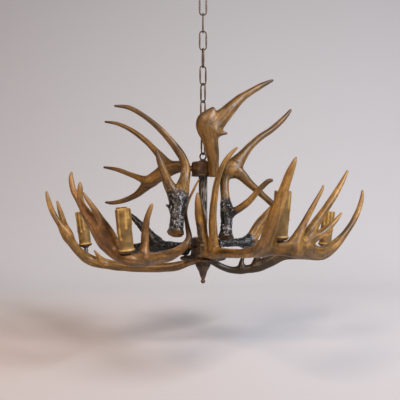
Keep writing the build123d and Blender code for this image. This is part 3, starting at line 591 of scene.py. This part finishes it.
def antler_material(tint, horn, tips, pearls):
    """Cast polyresin, stained and dry-brushed like deer antler: satin, streaked along the horn,
    darker in its grooves from stain and painted shade, and almost black with pale pearls where it
    imitates bark; smooth painted shade where the hollow mask marks a shadowed stretch."""
    material, tree, shader = new_material(f"stained_resin_{tint}")
    grain, bark, hollow, tip = (
        add_node(tree, "Attribute", {"attribute_name": key}).outputs[kind]
        for key, kind in (("grain", "Vector"), ("bark", "Fac"), ("hollow", "Fac"), ("tip", "Fac")))
    place = add_node(tree, "TexCoord").outputs["Object"]
    # patches of stain about 60 mm across, and specks about 7 mm across
    patch = add_node(tree, "TexNoise", Vector=place, Scale=16.0, Detail=2.0)
    speck = add_node(tree, "TexNoise", Vector=place, Scale=140.0, Detail=3.0)
    # streaks about 3 mm across and six times as long
    stretched = add_node(tree, "Mapping", Vector=grain, Scale=(0.16, 1.0, 1.0))
    streak = add_node(tree, "TexNoise", Vector=stretched, Scale=330.0, Detail=4.0, Roughness=0.6)
    mix = add_node(tree, "Math", {"operation": "MULTIPLY"}, i0=patch, i1=0.44)
    for noise, weight in ((speck, 0.24), (streak, 0.32)):
        mix = add_node(tree, "Math", {"operation": "MULTIPLY_ADD"}, i0=noise, i1=weight, i2=mix)
    body = add_node(tree, "ValToRGB", {"stops": shades(
        horn, {0.28: STAIN_AND_SHADE, 0.40: DEEP, 0.54: 1, 0.68: RUBBED})}, Fac=mix)
    worn = add_node(tree, "Math", {"operation": "MULTIPLY"}, i0=tip, i1=0.7)
    tipped = add_node(tree, "Mix", {"data_type": "RGBA"}, i0=worn, i6=body, i7=tone(tips))
    # the hollow mask: stain in the grooves plus painted shade there, and painted shade under the
    # plate
    stain_and_shade = add_node(tree, "Mix", {"data_type": "RGBA"},
                       i0=hollow, i6=tipped, i7=tone(horn, STAIN_AND_SHADE))
    # the burr's bark, in flecks of about 3 by 5 mm: black-brown, darker still with painted shade
    # in the hollows, grey where the brush has caught the pearls
    along_bark = add_node(tree, "Mapping", Vector=grain, Scale=(0.6, 1.0, 1.0))
    fleck = add_node(tree, "TexNoise", Vector=along_bark, Scale=360.0, Detail=3.0)
    sunk = add_node(tree, "Math", {"operation": "MULTIPLY"}, i0=hollow, i1=0.22)
    rub = add_node(tree, "Math", {"operation": "SUBTRACT"}, i0=fleck, i1=sunk)
    dark = add_node(tree, "ValToRGB", {"stops": shades(
        pearls, {0.34: 0.012, 0.46: 0.05, 0.52: 0.28, 0.59: 1.15})}, Fac=rub)
    full = add_node(tree, "Mix", {"data_type": "RGBA"}, i0=bark, i6=stain_and_shade, i7=dark)
    sheen = add_node(tree, "MapRange", Value=streak, To_Min=0.52, To_Max=0.36)
    bump = add_node(tree, "Bump", Strength=0.35, Distance=0.0006, Height=streak)
    connect(tree, shader, Base_Color=full, Roughness=sheen, IOR=1.5, Normal=bump)
    return material


class AntlerSettings(bpy.types.PropertyGroup):
    fillet: bpy.props.FloatProperty(
        name="Fork rounding", description="How widely the forks between tines are rounded",
        default=4.5 * MM, min=1.0 * MM, max=10 * MM, unit="LENGTH")
    voxel: bpy.props.FloatProperty(
        name="Mesh fineness", description="Size of the cells that fuse the tines to their beams",
        default=1.8 * MM, min=1.0 * MM, max=6 * MM, unit="LENGTH")
    groove_depth: bpy.props.FloatProperty(
        name="Groove depth", description="How deep the grooves along the horn are",
        default=0.8 * MM, min=0, max=3 * MM, unit="LENGTH")
    pearl_height: bpy.props.FloatProperty(
        name="Pearl height", description="How far the pearls of the burr stand out",
        default=1.7 * MM, min=0, max=4 * MM, unit="LENGTH")
    ochre: bpy.props.FloatVectorProperty(
        name="Ochre horn", description="Colour of most of the lower antlers",
        subtype="COLOR", min=0, max=1, default=linear("#92692C")[:3])
    umber: bpy.props.FloatVectorProperty(
        name="Umber horn", description="Colour of the four upper antlers",
        subtype="COLOR", min=0, max=1, default=linear("#866029")[:3])
    russet: bpy.props.FloatVectorProperty(
        name="Russet horn", description="Colour of the antler at the front left",
        subtype="COLOR", min=0, max=1, default=linear("#875D2C")[:3])
    smoked: bpy.props.FloatVectorProperty(
        name="Smoked horn", description="Colour of the dark antler at the back left",
        subtype="COLOR", min=0, max=1, default=linear("#382917")[:3])
    worn_tips: bpy.props.FloatVectorProperty(
        name="Worn tips", description="Colour of the tips of the ochre and russet antlers",
        subtype="COLOR", min=0, max=1, default=linear("#9A743D")[:3])
    dark_tips: bpy.props.FloatVectorProperty(
        name="Dark tips", description="Colour of the tips of the umber and smoked antlers",
        subtype="COLOR", min=0, max=1, default=linear("#2C1E10")[:3])
    pearls: bpy.props.FloatVectorProperty(
        name="Rubbed pearls", description="Colour that the brush leaves on the pearls of the bark",
        subtype="COLOR", min=0, max=1, default=linear("#8E8986")[:3])
    smoked_pearls: bpy.props.FloatVectorProperty(
        name="Smoked pearls", description="The same on the smoked antler",
        subtype="COLOR", min=0, max=1, default=linear("#4A4541")[:3])


class CHANDELIER_OT_antlers(bpy.types.Operator):
    """Cast the ten antlers: fused horns with grooves, and bark near the burrs"""
    bl_idname = "chandelier.antlers"
    bl_label = "Antlers"

    def execute(self, context):
        settings = context.scene.chandelier_antlers
        materials = {
            tint: antler_material(tint, *(getattr(settings, key) for key in (tint, tips, pearls)))
            for tint, tips, pearls in (("ochre", "worn_tips", "pearls"),
                                       ("umber", "dark_tips", "pearls"),
                                       ("russet", "worn_tips", "pearls"),
                                       ("smoked", "dark_tips", "smoked_pearls"))}
        for tier, level in ((UPPER_ANTLERS, COLLAR_LOW), (LOWER_ANTLERS, HUB_LOW)):
            for name, (tint, bark_at, branches) in tier.items():
                mesh, points, out, share, places, girth, left = antler_surface(
                    name, branches, level, settings, name != FUSED_PALM)
                bark = stretch_share(points, bark_at, level)
                # painted shade: a smooth dark stretch where the antler lies in shadow under the
                # plate, added to the hollow mask
                stain_and_shade = stretch_share(points, PAINTED_SHADE_RUNS.get(name, ()), level)
                points, hollow = carve_relief(
                    points, out, share, places, girth, left, bark, settings)
                if name in BURRED:
                    points, bark = burr_bulge(points, out, share, places, bark)
                points = clear_of_plate(name, seat_lights(name, points))
                mesh.vertices.foreach_set("co", (points * MM).ravel())
                # the grain at a point is that of the branch with the largest share in it
                owner = np.argmax(share, axis=0)
                grain = np.stack(places)[owner, np.arange(len(points))]
                grain[:, 0] += GRAIN_SHIFT * owner
                piece = add_piece(name.replace("antler_", "horn_"), mesh, materials[tint],
                                  bark=bark, hollow=np.maximum(hollow, stain_and_shade),
                                  tip=1 - smooth_step(*TIP_WEAR, left), grain=grain * MM)
                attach(piece, "fixture")
                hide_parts(name)
        return {"FINISHED"}


def light_frame(name):
    """A light's foot in millimetres, and its own side, back and up directions."""
    x, y, height, _ = LIGHTS[name]
    way = np.array([x, y, 0]) / math.hypot(x, y)
    up = way * math.sin(LEAN) + np.array([0, 0, math.cos(LEAN)])
    side = np.cross([0, 0, 1], way)
    return np.array([x, y, HUB_LOW + height]), side, np.cross(up, side), up


def seat_lights(name, points):
    """Presses what stands in a light's cup down on to the flat that the cup rests on."""
    for light, (_, _, _, carrier) in LIGHTS.items():
        if carrier != name:
            continue
        foot, _, _, up = light_frame(light)
        offset = points - foot
        high = offset @ up
        away = np.linalg.norm(offset - high[:, None] * up, axis=1)
        inside = (away < CUP_REACH) & (high > CUP_SEAT) & (high < CUP_TOP)
        points = points - np.where(inside, high - CUP_SEAT, 0)[:, None] * up
    return points


def clear_of_plate(name, points):
    """Keeps the two antlers under the plate below its lower face."""
    if name not in UNDER_PLATE:
        return points
    level = PLATE_LOW - PLATE_GAP
    under = (np.hypot(points[:, 0], points[:, 1]) < PLATE_REACH) & (points[:, 2] > level)
    points = points.copy()
    points[under, 2] = level
    return points


# --- candles ---
def sleeve_surface(seed, run_height):
    """A candle's outside with wax runs, its rim and its bore, as one closed surface.

    Outside, the radius is the sleeve's plus, for each run, a rounded ridge
    h exp(-(angle / width) ** 2) that starts at the rim and ends in a drop, plus slow noise; the
    foot spreads over the cup.
    """
    rng = np.random.default_rng(seed)
    around, rows = 96, 70
    turn = circle(around)
    angle, z = np.meshgrid(turn, np.linspace(FOOT_EDGE, SLEEVE_HEIGHT, rows))
    spots = about_axis(SLEEVE_RADIUS, angle, z).reshape(-1, 3) + seed * 50
    noise = value_noise(spots, 9, 1).reshape(z.shape)
    radius = SLEEVE_RADIUS - 0.1 + 0.35 * noise
    for k in range(WAX_RUNS):
        at = 2 * np.pi * (k + rng.uniform(-0.3, 0.3)) / WAX_RUNS
        wide = rng.uniform(0.10, 0.17)
        end = SLEEVE_HEIGHT - rng.uniform(12, 62)
        sway = 0.06 * np.sin(z / 14 + k)
        off = np.angle(np.exp(1j * (angle - at - sway)))
        above = smooth_step(end - 2.5, end + 1.5, z)
        drop = np.exp(-((z - end - 1.5) / 3.0) ** 2)
        ridge = np.exp(-(off / (wide * (1 + 0.35 * drop))) ** 2)
        radius += (run_height * above + 0.9 * drop) * ridge
    radius += 1.9 * np.exp(-((z - FOOT_EDGE) / 2.6) ** 2)
    # the rim is rough, and the last 6 mm of the outside follow it
    rim = SLEEVE_HEIGHT + 0.2 + 1.1 * value_noise(about_axis(12, turn, seed * 9.0), 8, 2)
    bent = z + (rim - SLEEVE_HEIGHT) * (z - SLEEVE_HEIGHT + 6) / 6
    z = np.where(z > SLEEVE_HEIGHT - 6, bent, z)
    top, last = z[-1], radius[-1]
    foot = [(SLEEVE_BORE + 0.1, 0.1), (SLEEVE_RADIUS - 0.4, 0.1), (SLEEVE_RADIUS - 0.1, 2.6)]
    inside = [(last - 0.7, top + 0.7), ((last + SLEEVE_BORE) / 2, top + 0.8),
              (SLEEVE_BORE + 0.5, top + 0.2), (SLEEVE_BORE + 0.1, top - 1.5),
              (SLEEVE_BORE + 0.1, BORE_MIDDLE)]
    rings = np.concatenate([[about_axis(size, turn, height) for size, height in foot],
                            about_axis(radius, angle, z),
                            [about_axis(size, turn, height) for size, height in inside]])
    groove = np.concatenate([np.zeros((len(foot), around)),
                             1 - smooth_step(-0.3, 0.9, radius - SLEEVE_RADIUS),
                             np.full((len(inside), around), 0.2)])
    return rings.reshape(-1, 3), grid_faces(len(rings), around, looped=True), groove.ravel()


class CandleSettings(bpy.types.PropertyGroup):
    run_height: bpy.props.FloatProperty(
        name="Wax run height", description="How far the runs of wax stand out from the sleeve",
        default=1.2 * MM, min=0, max=1.5 * MM, unit="LENGTH")
    wax: bpy.props.FloatVectorProperty(
        name="Wax", description="Colour of the candle sleeves",
        subtype="COLOR", min=0, max=1, default=linear("#A8823F")[:3])
    stain: bpy.props.FloatVectorProperty(
        name="Wax stain", description="Colour of the stain between the runs of wax",
        subtype="COLOR", min=0, max=1, default=linear("#46300F")[:3])


def candle_material(settings):
    """Cast resin antiqued like old beeswax: waxy sheen, golden tan, brown left in the hollows."""
    material, tree, shader = new_material("antiqued_candle_resin")
    place = add_node(tree, "TexCoord").outputs["Object"]
    groove = add_node(tree, "Attribute", {"attribute_name": "groove"}).outputs["Fac"]
    # blotches about 12 mm across
    blotch = add_node(tree, "TexNoise", Vector=place, Scale=80.0, Detail=4.0)
    body = add_node(tree, "ValToRGB", {"stops": shades(
        settings.wax, {0.30: 0.47, 0.52: 1, 0.72: (1.35, 1.45, 1.95)})}, Fac=blotch)
    sunk = add_node(tree, "Math", {"operation": "MULTIPLY"}, i0=groove, i1=0.72)
    stain = add_node(tree, "Mix", {"data_type": "RGBA"}, i0=sunk, i6=body, i7=tone(settings.stain))
    # pits about 2 mm across
    pits = add_node(tree, "TexNoise", Vector=place, Scale=500.0, Detail=3.0)
    bump = add_node(tree, "Bump", Strength=0.25, Distance=0.0005, Height=pits)
    connect(tree, shader, Base_Color=stain, Roughness=0.48, IOR=1.5, Normal=bump)
    return material


def mottled_finish(name, colour, shares, roughness, size, metallic=0.0):
    """A coat on metal or plastic: mottled over patches of a given size in millimetres, from a
    share of its colour where it is dark to another where it is rubbed, and glossier there."""
    material, tree, shader = new_material(name)
    place = add_node(tree, "TexCoord").outputs["Object"]
    patch = add_node(tree, "TexNoise", Vector=place, Scale=1000.0 / size,
                     Detail=5.0, Roughness=0.6)
    coat = add_node(tree, "ValToRGB", {"stops": shades(
        colour, {0.34: shares[0], 0.52: 1, 0.70: shares[1]})}, Fac=patch)
    worn = add_node(tree, "MapRange", Value=patch,
                    To_Min=roughness + 0.12, To_Max=roughness - 0.08)
    bump = add_node(tree, "Bump", Strength=0.2, Distance=0.0004, Height=patch)
    connect(tree, shader, Base_Color=coat, Metallic=metallic, Roughness=worn, Normal=bump)
    return material


class CHANDELIER_OT_candles(bpy.types.Operator):
    """Cast the six candle sleeves, each with its own wax runs"""
    bl_idname = "chandelier.candles"
    bl_label = "Candle sleeves"

    def execute(self, context):
        settings = context.scene.chandelier_candles
        material = candle_material(settings)
        for seed, light in enumerate(LIGHTS, 1):
            foot, *axes = light_frame(light)
            local, faces, groove = sleeve_surface(seed, settings.run_height / MM)
            points = foot + local @ np.stack(axes)
            piece = mesh_piece(f"candle_{light}", points, faces, material, groove=groove)
            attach(piece, f"sleeve_{light}")
            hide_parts(f"candle_sleeve_{light}")
        return {"FINISHED"}


# --- chain ---
def link_surface(facing, top, foot, wire, width, around=14):
    """A link of round wire: a circle of wire carried round a racetrack, with a weld swelling.

    The racetrack's middle line is two straight sides and two half circles. The wire has its
    own thickness where it bends, swells over the first 7 mm of the sides, and swells again at
    the weld, by exp(-(way / 2.2) ** 2) over the way from half way up one side.
    """
    reach = (width - wire) / 2
    high, low = top - wire / 2 - reach, foot + wire / 2 + reach
    bend = np.linspace(0, np.pi, 22)
    side = np.linspace(low, high, 14)[1:-1]
    x = np.concatenate([reach * np.cos(bend), -reach + 0 * side,
                        -reach * np.cos(bend), reach + 0 * side])
    z = np.concatenate([high + reach * np.sin(bend), side[::-1],
                        low - reach * np.sin(bend), side])
    line = np.stack([x, 0 * x, z], -1)
    ahead = np.roll(line, -1, 0) - np.roll(line, 1, 0)
    ahead /= np.linalg.norm(ahead, axis=1)[:, None]
    normal = np.cross(ahead, [0, 1, 0])
    weld = 1 + WELD_SWELL * np.exp(-((z - (high + low) / 2) / 2.2) ** 2) * (x > 0)
    drawn = 1 + SIDE_SWELL * smooth_step(0, 7, np.minimum(high - z, z - low))
    radius = (wire / 2 - WIRE_GAP) * (weld * drawn)
    rings = rings_about(line, normal, np.array([[0, 1, 0]]), radius, radius, around)
    cos, sin = math.cos(math.radians(facing)), math.sin(math.radians(facing))
    turned = rings @ np.array([[cos, sin, 0], [-sin, cos, 0], [0, 0, 1]])
    # turned over, because the rings run clockwise about the wire
    return turned.reshape(-1, 3), grid_faces(len(line), around, looped=True)[:, ::-1]


class ChainSettings(bpy.types.PropertyGroup):
    wire: bpy.props.FloatProperty(
        name="Link wire", description="Thickness of the links' wire where it bends",
        default=3.4 * MM, min=2 * MM, max=3.4 * MM, unit="LENGTH")
    lacquer: bpy.props.FloatVectorProperty(
        name="Chain lacquer", description="Colour of the chain's bronze lacquer",
        subtype="COLOR", min=0, max=1, default=linear("#4A371C")[:3])


class CHANDELIER_OT_chain(bpy.types.Operator):
    """Form the chain's links in round wire with a weld on one side"""
    bl_idname = "chandelier.chain"
    bl_label = "Chain"

    def execute(self, context):
        settings = context.scene.chandelier_chain
        # steel wire with an antique bronze lacquer, mottled over about 4 mm: satin, worn bright
        material = mottled_finish(
            "antique_bronze_lacquer", settings.lacquer, (0.2, 2.6), 0.40, 4.0)
        for index, facing in enumerate(LINK_FACING):
            node = f"chain_link_{index + 1}"
            low, high = span(node)
            points, faces = link_surface(
                facing, high[2], low[2], settings.wire / MM, LINK_WIDTH)
            piece = mesh_piece(f"wire_link_{index + 1}", points, faces, material)
            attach(piece, f"link_{index + 1}")
            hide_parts(node)
        return {"FINISHED"}


# --- core ---
def column_surface(radius, low, high):
    """A bark-covered column: a cylinder whose radius rises and falls in long vertical ridges.

    The radius is the given one less 1.3 mm, plus ridges of 0.9 mm from noise drawn out seven
    times upright, plus lumps of 0.4 mm.
    """
    around, rows = 120, 130
    angle, z = np.meshgrid(circle(around), np.linspace(low, high, rows))
    spots = about_axis(radius, angle, z / 7).reshape(-1, 3)
    ridge = 1 - 2 * np.abs(value_noise(spots, 3.6, 3)).reshape(z.shape)
    lump = value_noise(spots * (1, 1, 3), 6, 4).reshape(z.shape)
    size = radius - 1.3 + 0.9 * ridge + 0.4 * lump
    points = np.vstack([about_axis(size, angle, z).reshape(-1, 3), (0, 0, low), (0, 0, high)])
    hollow = np.append(smooth_step(0.6, -0.6, ridge).ravel(), (0, 0))
    return points, [*grid_faces(rows, around), *end_fans(rows, around)], hollow


class CoreSettings(bpy.types.PropertyGroup):
    bark: bpy.props.FloatVectorProperty(
        name="Column bark", description="Colour of the ridges of the column's bark",
        subtype="COLOR", min=0, max=1, default=linear("#857D74")[:3])
    bronze: bpy.props.FloatVectorProperty(
        name="Bronze paint", description="Colour of the canopy, castings, cups and finial",
        subtype="COLOR", min=0, max=1, default=linear("#432D16")[:3])
    zinc: bpy.props.FloatVectorProperty(
        name="Zinc plate", description="Colour of the plated nuts, screws and tubes",
        subtype="COLOR", min=0, max=1, default=linear("#9A9A9A")[:3])
    holder: bpy.props.FloatVectorProperty(
        name="Bulb holder", description="Colour of the moulded bulb holders",
        subtype="COLOR", min=0, max=1, default=linear("#E2DCCB")[:3])


def bark_material(pale):
    """Cast resin with a bark texture: nearly black in the furrows, its ridges dry-brushed
    grey-brown."""
    material, tree, shader = new_material("dry_brushed_bark_resin")
    place = add_node(tree, "TexCoord").outputs["Object"]
    hollow = add_node(tree, "Attribute", {"attribute_name": "hollow"}).outputs["Fac"]
    # flecks about 3 mm wide and 20 mm tall
    tall = add_node(tree, "Mapping", Vector=place, Scale=(1.0, 1.0, 0.15))
    fleck = add_node(tree, "TexNoise", Vector=tall, Scale=330.0, Detail=4.0)
    sunk = add_node(tree, "Math", {"operation": "MULTIPLY"}, i0=hollow, i1=0.32)
    rub = add_node(tree, "Math", {"operation": "SUBTRACT"}, i0=fleck, i1=sunk)
    colour = add_node(tree, "ValToRGB", {"stops": shades(
        pale, {0.19: 0.01, 0.33: 0.08, 0.45: (0.35, 0.34, 0.31), 0.58: 1})}, Fac=rub)
    bump = add_node(tree, "Bump", Strength=0.4, Distance=0.0006, Height=fleck)
    connect(tree, shader, Base_Color=colour, Roughness=0.5, IOR=1.5, Normal=bump)
    return material


class CHANDELIER_OT_core(bpy.types.Operator):
    """Cover the column in bark, and finish the castings, nuts, tubes and holders"""
    bl_idname = "chandelier.core"
    bl_label = "Core and fittings"

    def execute(self, context):
        settings = context.scene.chandelier_core
        low, high = span("column_sleeve")
        points, faces, hollow = column_surface(high[0], low[2], high[2])
        column = mesh_piece(
            "bark_column", points, faces, bark_material(settings.bark), hollow=hollow)
        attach(column, "fixture")
        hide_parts("column_sleeve")

        finishes = {
            # turned and cast metal with a bronze paint, rubbed back over patches of about 12 mm
            "bronzed_steel": mottled_finish(
                "rubbed_bronze_paint", settings.bronze, (0.3, 3.1), 0.42, 12.0),
            # zinc-plated steel, spangled over about 6 mm
            "zinc_steel": mottled_finish(
                "zinc_plate", settings.zinc, (0.62, 1.4), 0.38, 6.0, 1.0),
            # moulded thermoplastic bulb holders: ivory, satin
            "holder_plastic": mottled_finish(
                "moulded_ivory_plastic", settings.holder, (0.9, 1.06), 0.42, 20.0),
        }
        for part in frame["record"]["subparts"]:
            finish = finishes.get(part["material_slot"])
            node = frame["nodes"][part["node"]]
            if finish is None or part["node"].startswith("chain_link_"):
                continue
            if not node.material_slots:
                node.data.materials.append(finish)
            for slot in node.material_slots:
                slot.link = "OBJECT"
                slot.material = finish
        return {"FINISHED"}


# --- stage ---
class StageSettings(bpy.types.PropertyGroup):
    floor: bpy.props.FloatProperty(
        name="Floor", description="How far the floor is below the ceiling",
        default=1.0, min=0.8, max=3, unit="LENGTH")
    eye_height: bpy.props.FloatProperty(
        name="Camera height", description="The camera's height against the ceiling",
        default=-0.575, unit="LENGTH")
    distance: bpy.props.FloatProperty(
        name="Camera distance", description="From the camera to the column's axis",
        default=1.168, min=0.5, unit="LENGTH")
    lens: bpy.props.FloatProperty(
        name="Lens", description="Focal length on a 36 mm wide frame, in millimetres",
        default=42.03, min=10, max=200, unit="CAMERA")
    key_power: bpy.props.FloatProperty(
        name="Key lamp", description="Power of the cool lamp at the right",
        default=188, min=0, unit="POWER")
    warm_power: bpy.props.FloatProperty(
        name="Warm lamp", description="Power of the warm lamp at the left",
        default=80, min=0, unit="POWER")
    wall: bpy.props.FloatVectorProperty(
        name="Wall", description="Colour of the wall's paint half way up",
        subtype="COLOR", min=0, max=1, default=linear("#C8C9CB")[:3])


def backdrop_material(colour):
    """A matt painted studio wall and floor: pale grey, with painted light on it: paler on the
    floor, and a painted warm light at its left.
    """
    material, tree, shader = new_material("matt_studio_paint")
    place = add_node(tree, "TexCoord").outputs["Object"]
    axes = add_node(tree, "SeparateXYZ", Vector=place).outputs
    # painted light and shade: paler at the wall's foot, darker up the wall and in front of the
    # lamp
    up = add_node(tree, "MapRange", Value=axes["Z"], From_Min=-1.0, From_Max=0.9)
    wall = add_node(tree, "ValToRGB", {"stops": shades(
        colour, {0.0: 1.26, 0.2: 1.14, 0.6: 1, 1.0: 0.86})}, Fac=up)
    # painted light on the floor: darker at the front, paler towards the wall
    near = add_node(tree, "MapRange", Value=axes["Y"], From_Min=-0.4, From_Max=1.1)
    plain, warm = (
        add_node(tree, "ValToRGB",
                 {"stops": [(0.0, linear(front)), (0.38, linear(middle)), (1.0, linear(back))]},
                 Fac=near)
        for front, middle, back in (("#E0DEDE", "#F6F4F5", "#FFFFFF"),
                                    ("#E0DBD8", "#F8E9E0", "#FFFFFF")))
    # painted warm light over the floor's left side
    left = add_node(tree, "MapRange", Value=axes["X"], From_Min=0.2, From_Max=-0.6)
    floor = add_node(tree, "Mix", {"data_type": "RGBA"}, i0=left, i6=plain, i7=warm)
    paint = add_node(tree, "Mix", {"data_type": "RGBA", "blend_type": "MULTIPLY"},
                     i0=1.0, i6=wall, i7=floor)
    connect(tree, shader, Base_Color=paint, Roughness=0.9, Specular_IOR_Level=0.1)
    return material


def area_light(name, place, size, power, colour):
    """A square area lamp at a place in metres, turned to the middle of the antlers."""
    aim = (0, 0, -0.6)
    lamp = bpy.data.lights.new(name, "AREA")
    lamp.energy = power
    lamp.size = size
    lamp.color = linear(colour)[:3]
    body = bpy.data.objects.new(name, lamp)
    body.location = place
    way = np.subtract(aim, place)
    tilt = math.acos(-way[2] / np.linalg.norm(way))
    body.rotation_euler = (tilt, 0, math.atan2(way[1], way[0]) - math.pi / 2)
    bpy.context.scene.collection.objects.link(body)


class CHANDELIER_OT_stage(bpy.types.Operator):
    """Set the pale floor and wall, the soft lamps and the camera"""
    bl_idname = "chandelier.stage"
    bl_label = "Stage"

    def execute(self, context):
        scene = context.scene
        settings = scene.chandelier_stage
        # floor and wall in one sweep, 24 m wide: flat, then a quarter circle, then upright
        front, back, bend, half, ceiling = -6.0, 2.3, 1.2, 12.0, 4.0
        floor = -settings.floor
        turn = np.linspace(0, np.pi / 2, 24)
        y = np.concatenate([[front], back - bend + bend * np.sin(turn), [back]])
        z = np.concatenate([[floor], floor + bend - bend * np.cos(turn), [ceiling]])
        rows = len(y)
        left = np.stack([np.full(rows, -half), y, z], -1)
        points = np.vstack([left, left * (-1, 1, 1)]) / MM
        i = np.arange(rows - 1)
        faces = np.stack([i, i + rows, i + 1 + rows, i + 1], -1)
        sweep = mesh_piece("studio_sweep", points, faces, backdrop_material(settings.wall))

        world = bpy.data.worlds.new("soft_studio")
        scene.world = world
        world.use_nodes = True
        tree = world.node_tree
        # dim as a light, and as pale as the wall where the camera sees past it
        eye = add_node(tree, "LightPath").outputs["Is Camera Ray"]
        shown = add_node(tree, "MapRange", Value=eye, To_Min=0.11, To_Max=0.6)
        connect(tree, tree.nodes["Background"], Color=linear("#F0ECEF"), Strength=shown)
        area_light("key", (2.6, -2.4, 1.6), 1.2, settings.key_power, "#F6F8FF")
        area_light("warm", (-1.2, -2.5, 1.7), 1.0, settings.warm_power, "#FFE2CC")

        lens = bpy.data.cameras.new("camera")
        lens.lens = settings.lens
        lens.sensor_width = 36
        camera = bpy.data.objects.new("camera", lens)
        camera.location = (-0.0075, -settings.distance, settings.eye_height)
        camera.rotation_euler = (math.pi / 2, 0, 0)
        scene.collection.objects.link(camera)
        scene.camera = camera
        scene.view_settings.view_transform = "Standard"
        return {"FINISHED"}


class CHANDELIER_PT_panel(bpy.types.Panel):
    bl_label = "Chandelier"
    bl_idname = "CHANDELIER_PT_panel"
    bl_space_type = "VIEW_3D"
    bl_region_type = "UI"
    bl_category = "Chandelier"

    def draw(self, context):
        for group in SETTINGS:
            settings = getattr(context.scene, group)
            for key in settings.__annotations__:
                self.layout.prop(settings, key)
        for operator in OPERATORS:
            self.layout.operator(operator.bl_idname)


OPERATORS = (CHANDELIER_OT_stage, CHANDELIER_OT_antlers, CHANDELIER_OT_candles,
             CHANDELIER_OT_chain, CHANDELIER_OT_core)
SETTINGS = {"chandelier_stage": StageSettings, "chandelier_antlers": AntlerSettings,
            "chandelier_candles": CandleSettings, "chandelier_chain": ChainSettings,
            "chandelier_core": CoreSettings}
CLASSES = (*SETTINGS.values(), *OPERATORS, CHANDELIER_PT_panel)


def register():
    for one in CLASSES:
        bpy.utils.register_class(one)
    for name, group in SETTINGS.items():
        setattr(bpy.types.Scene, name, bpy.props.PointerProperty(type=group))


def unregister():
    for name in SETTINGS:
        delattr(bpy.types.Scene, name)
    for one in reversed(CLASSES):
        bpy.utils.unregister_class(one)


def main():
    """Builds every piece in turn."""
    register()
    bpy.ops.chandelier.stage()
    bpy.ops.chandelier.antlers()
    bpy.ops.chandelier.candles()
    bpy.ops.chandelier.chain()
    bpy.ops.chandelier.core()


if __name__ == "__main__":
    main()
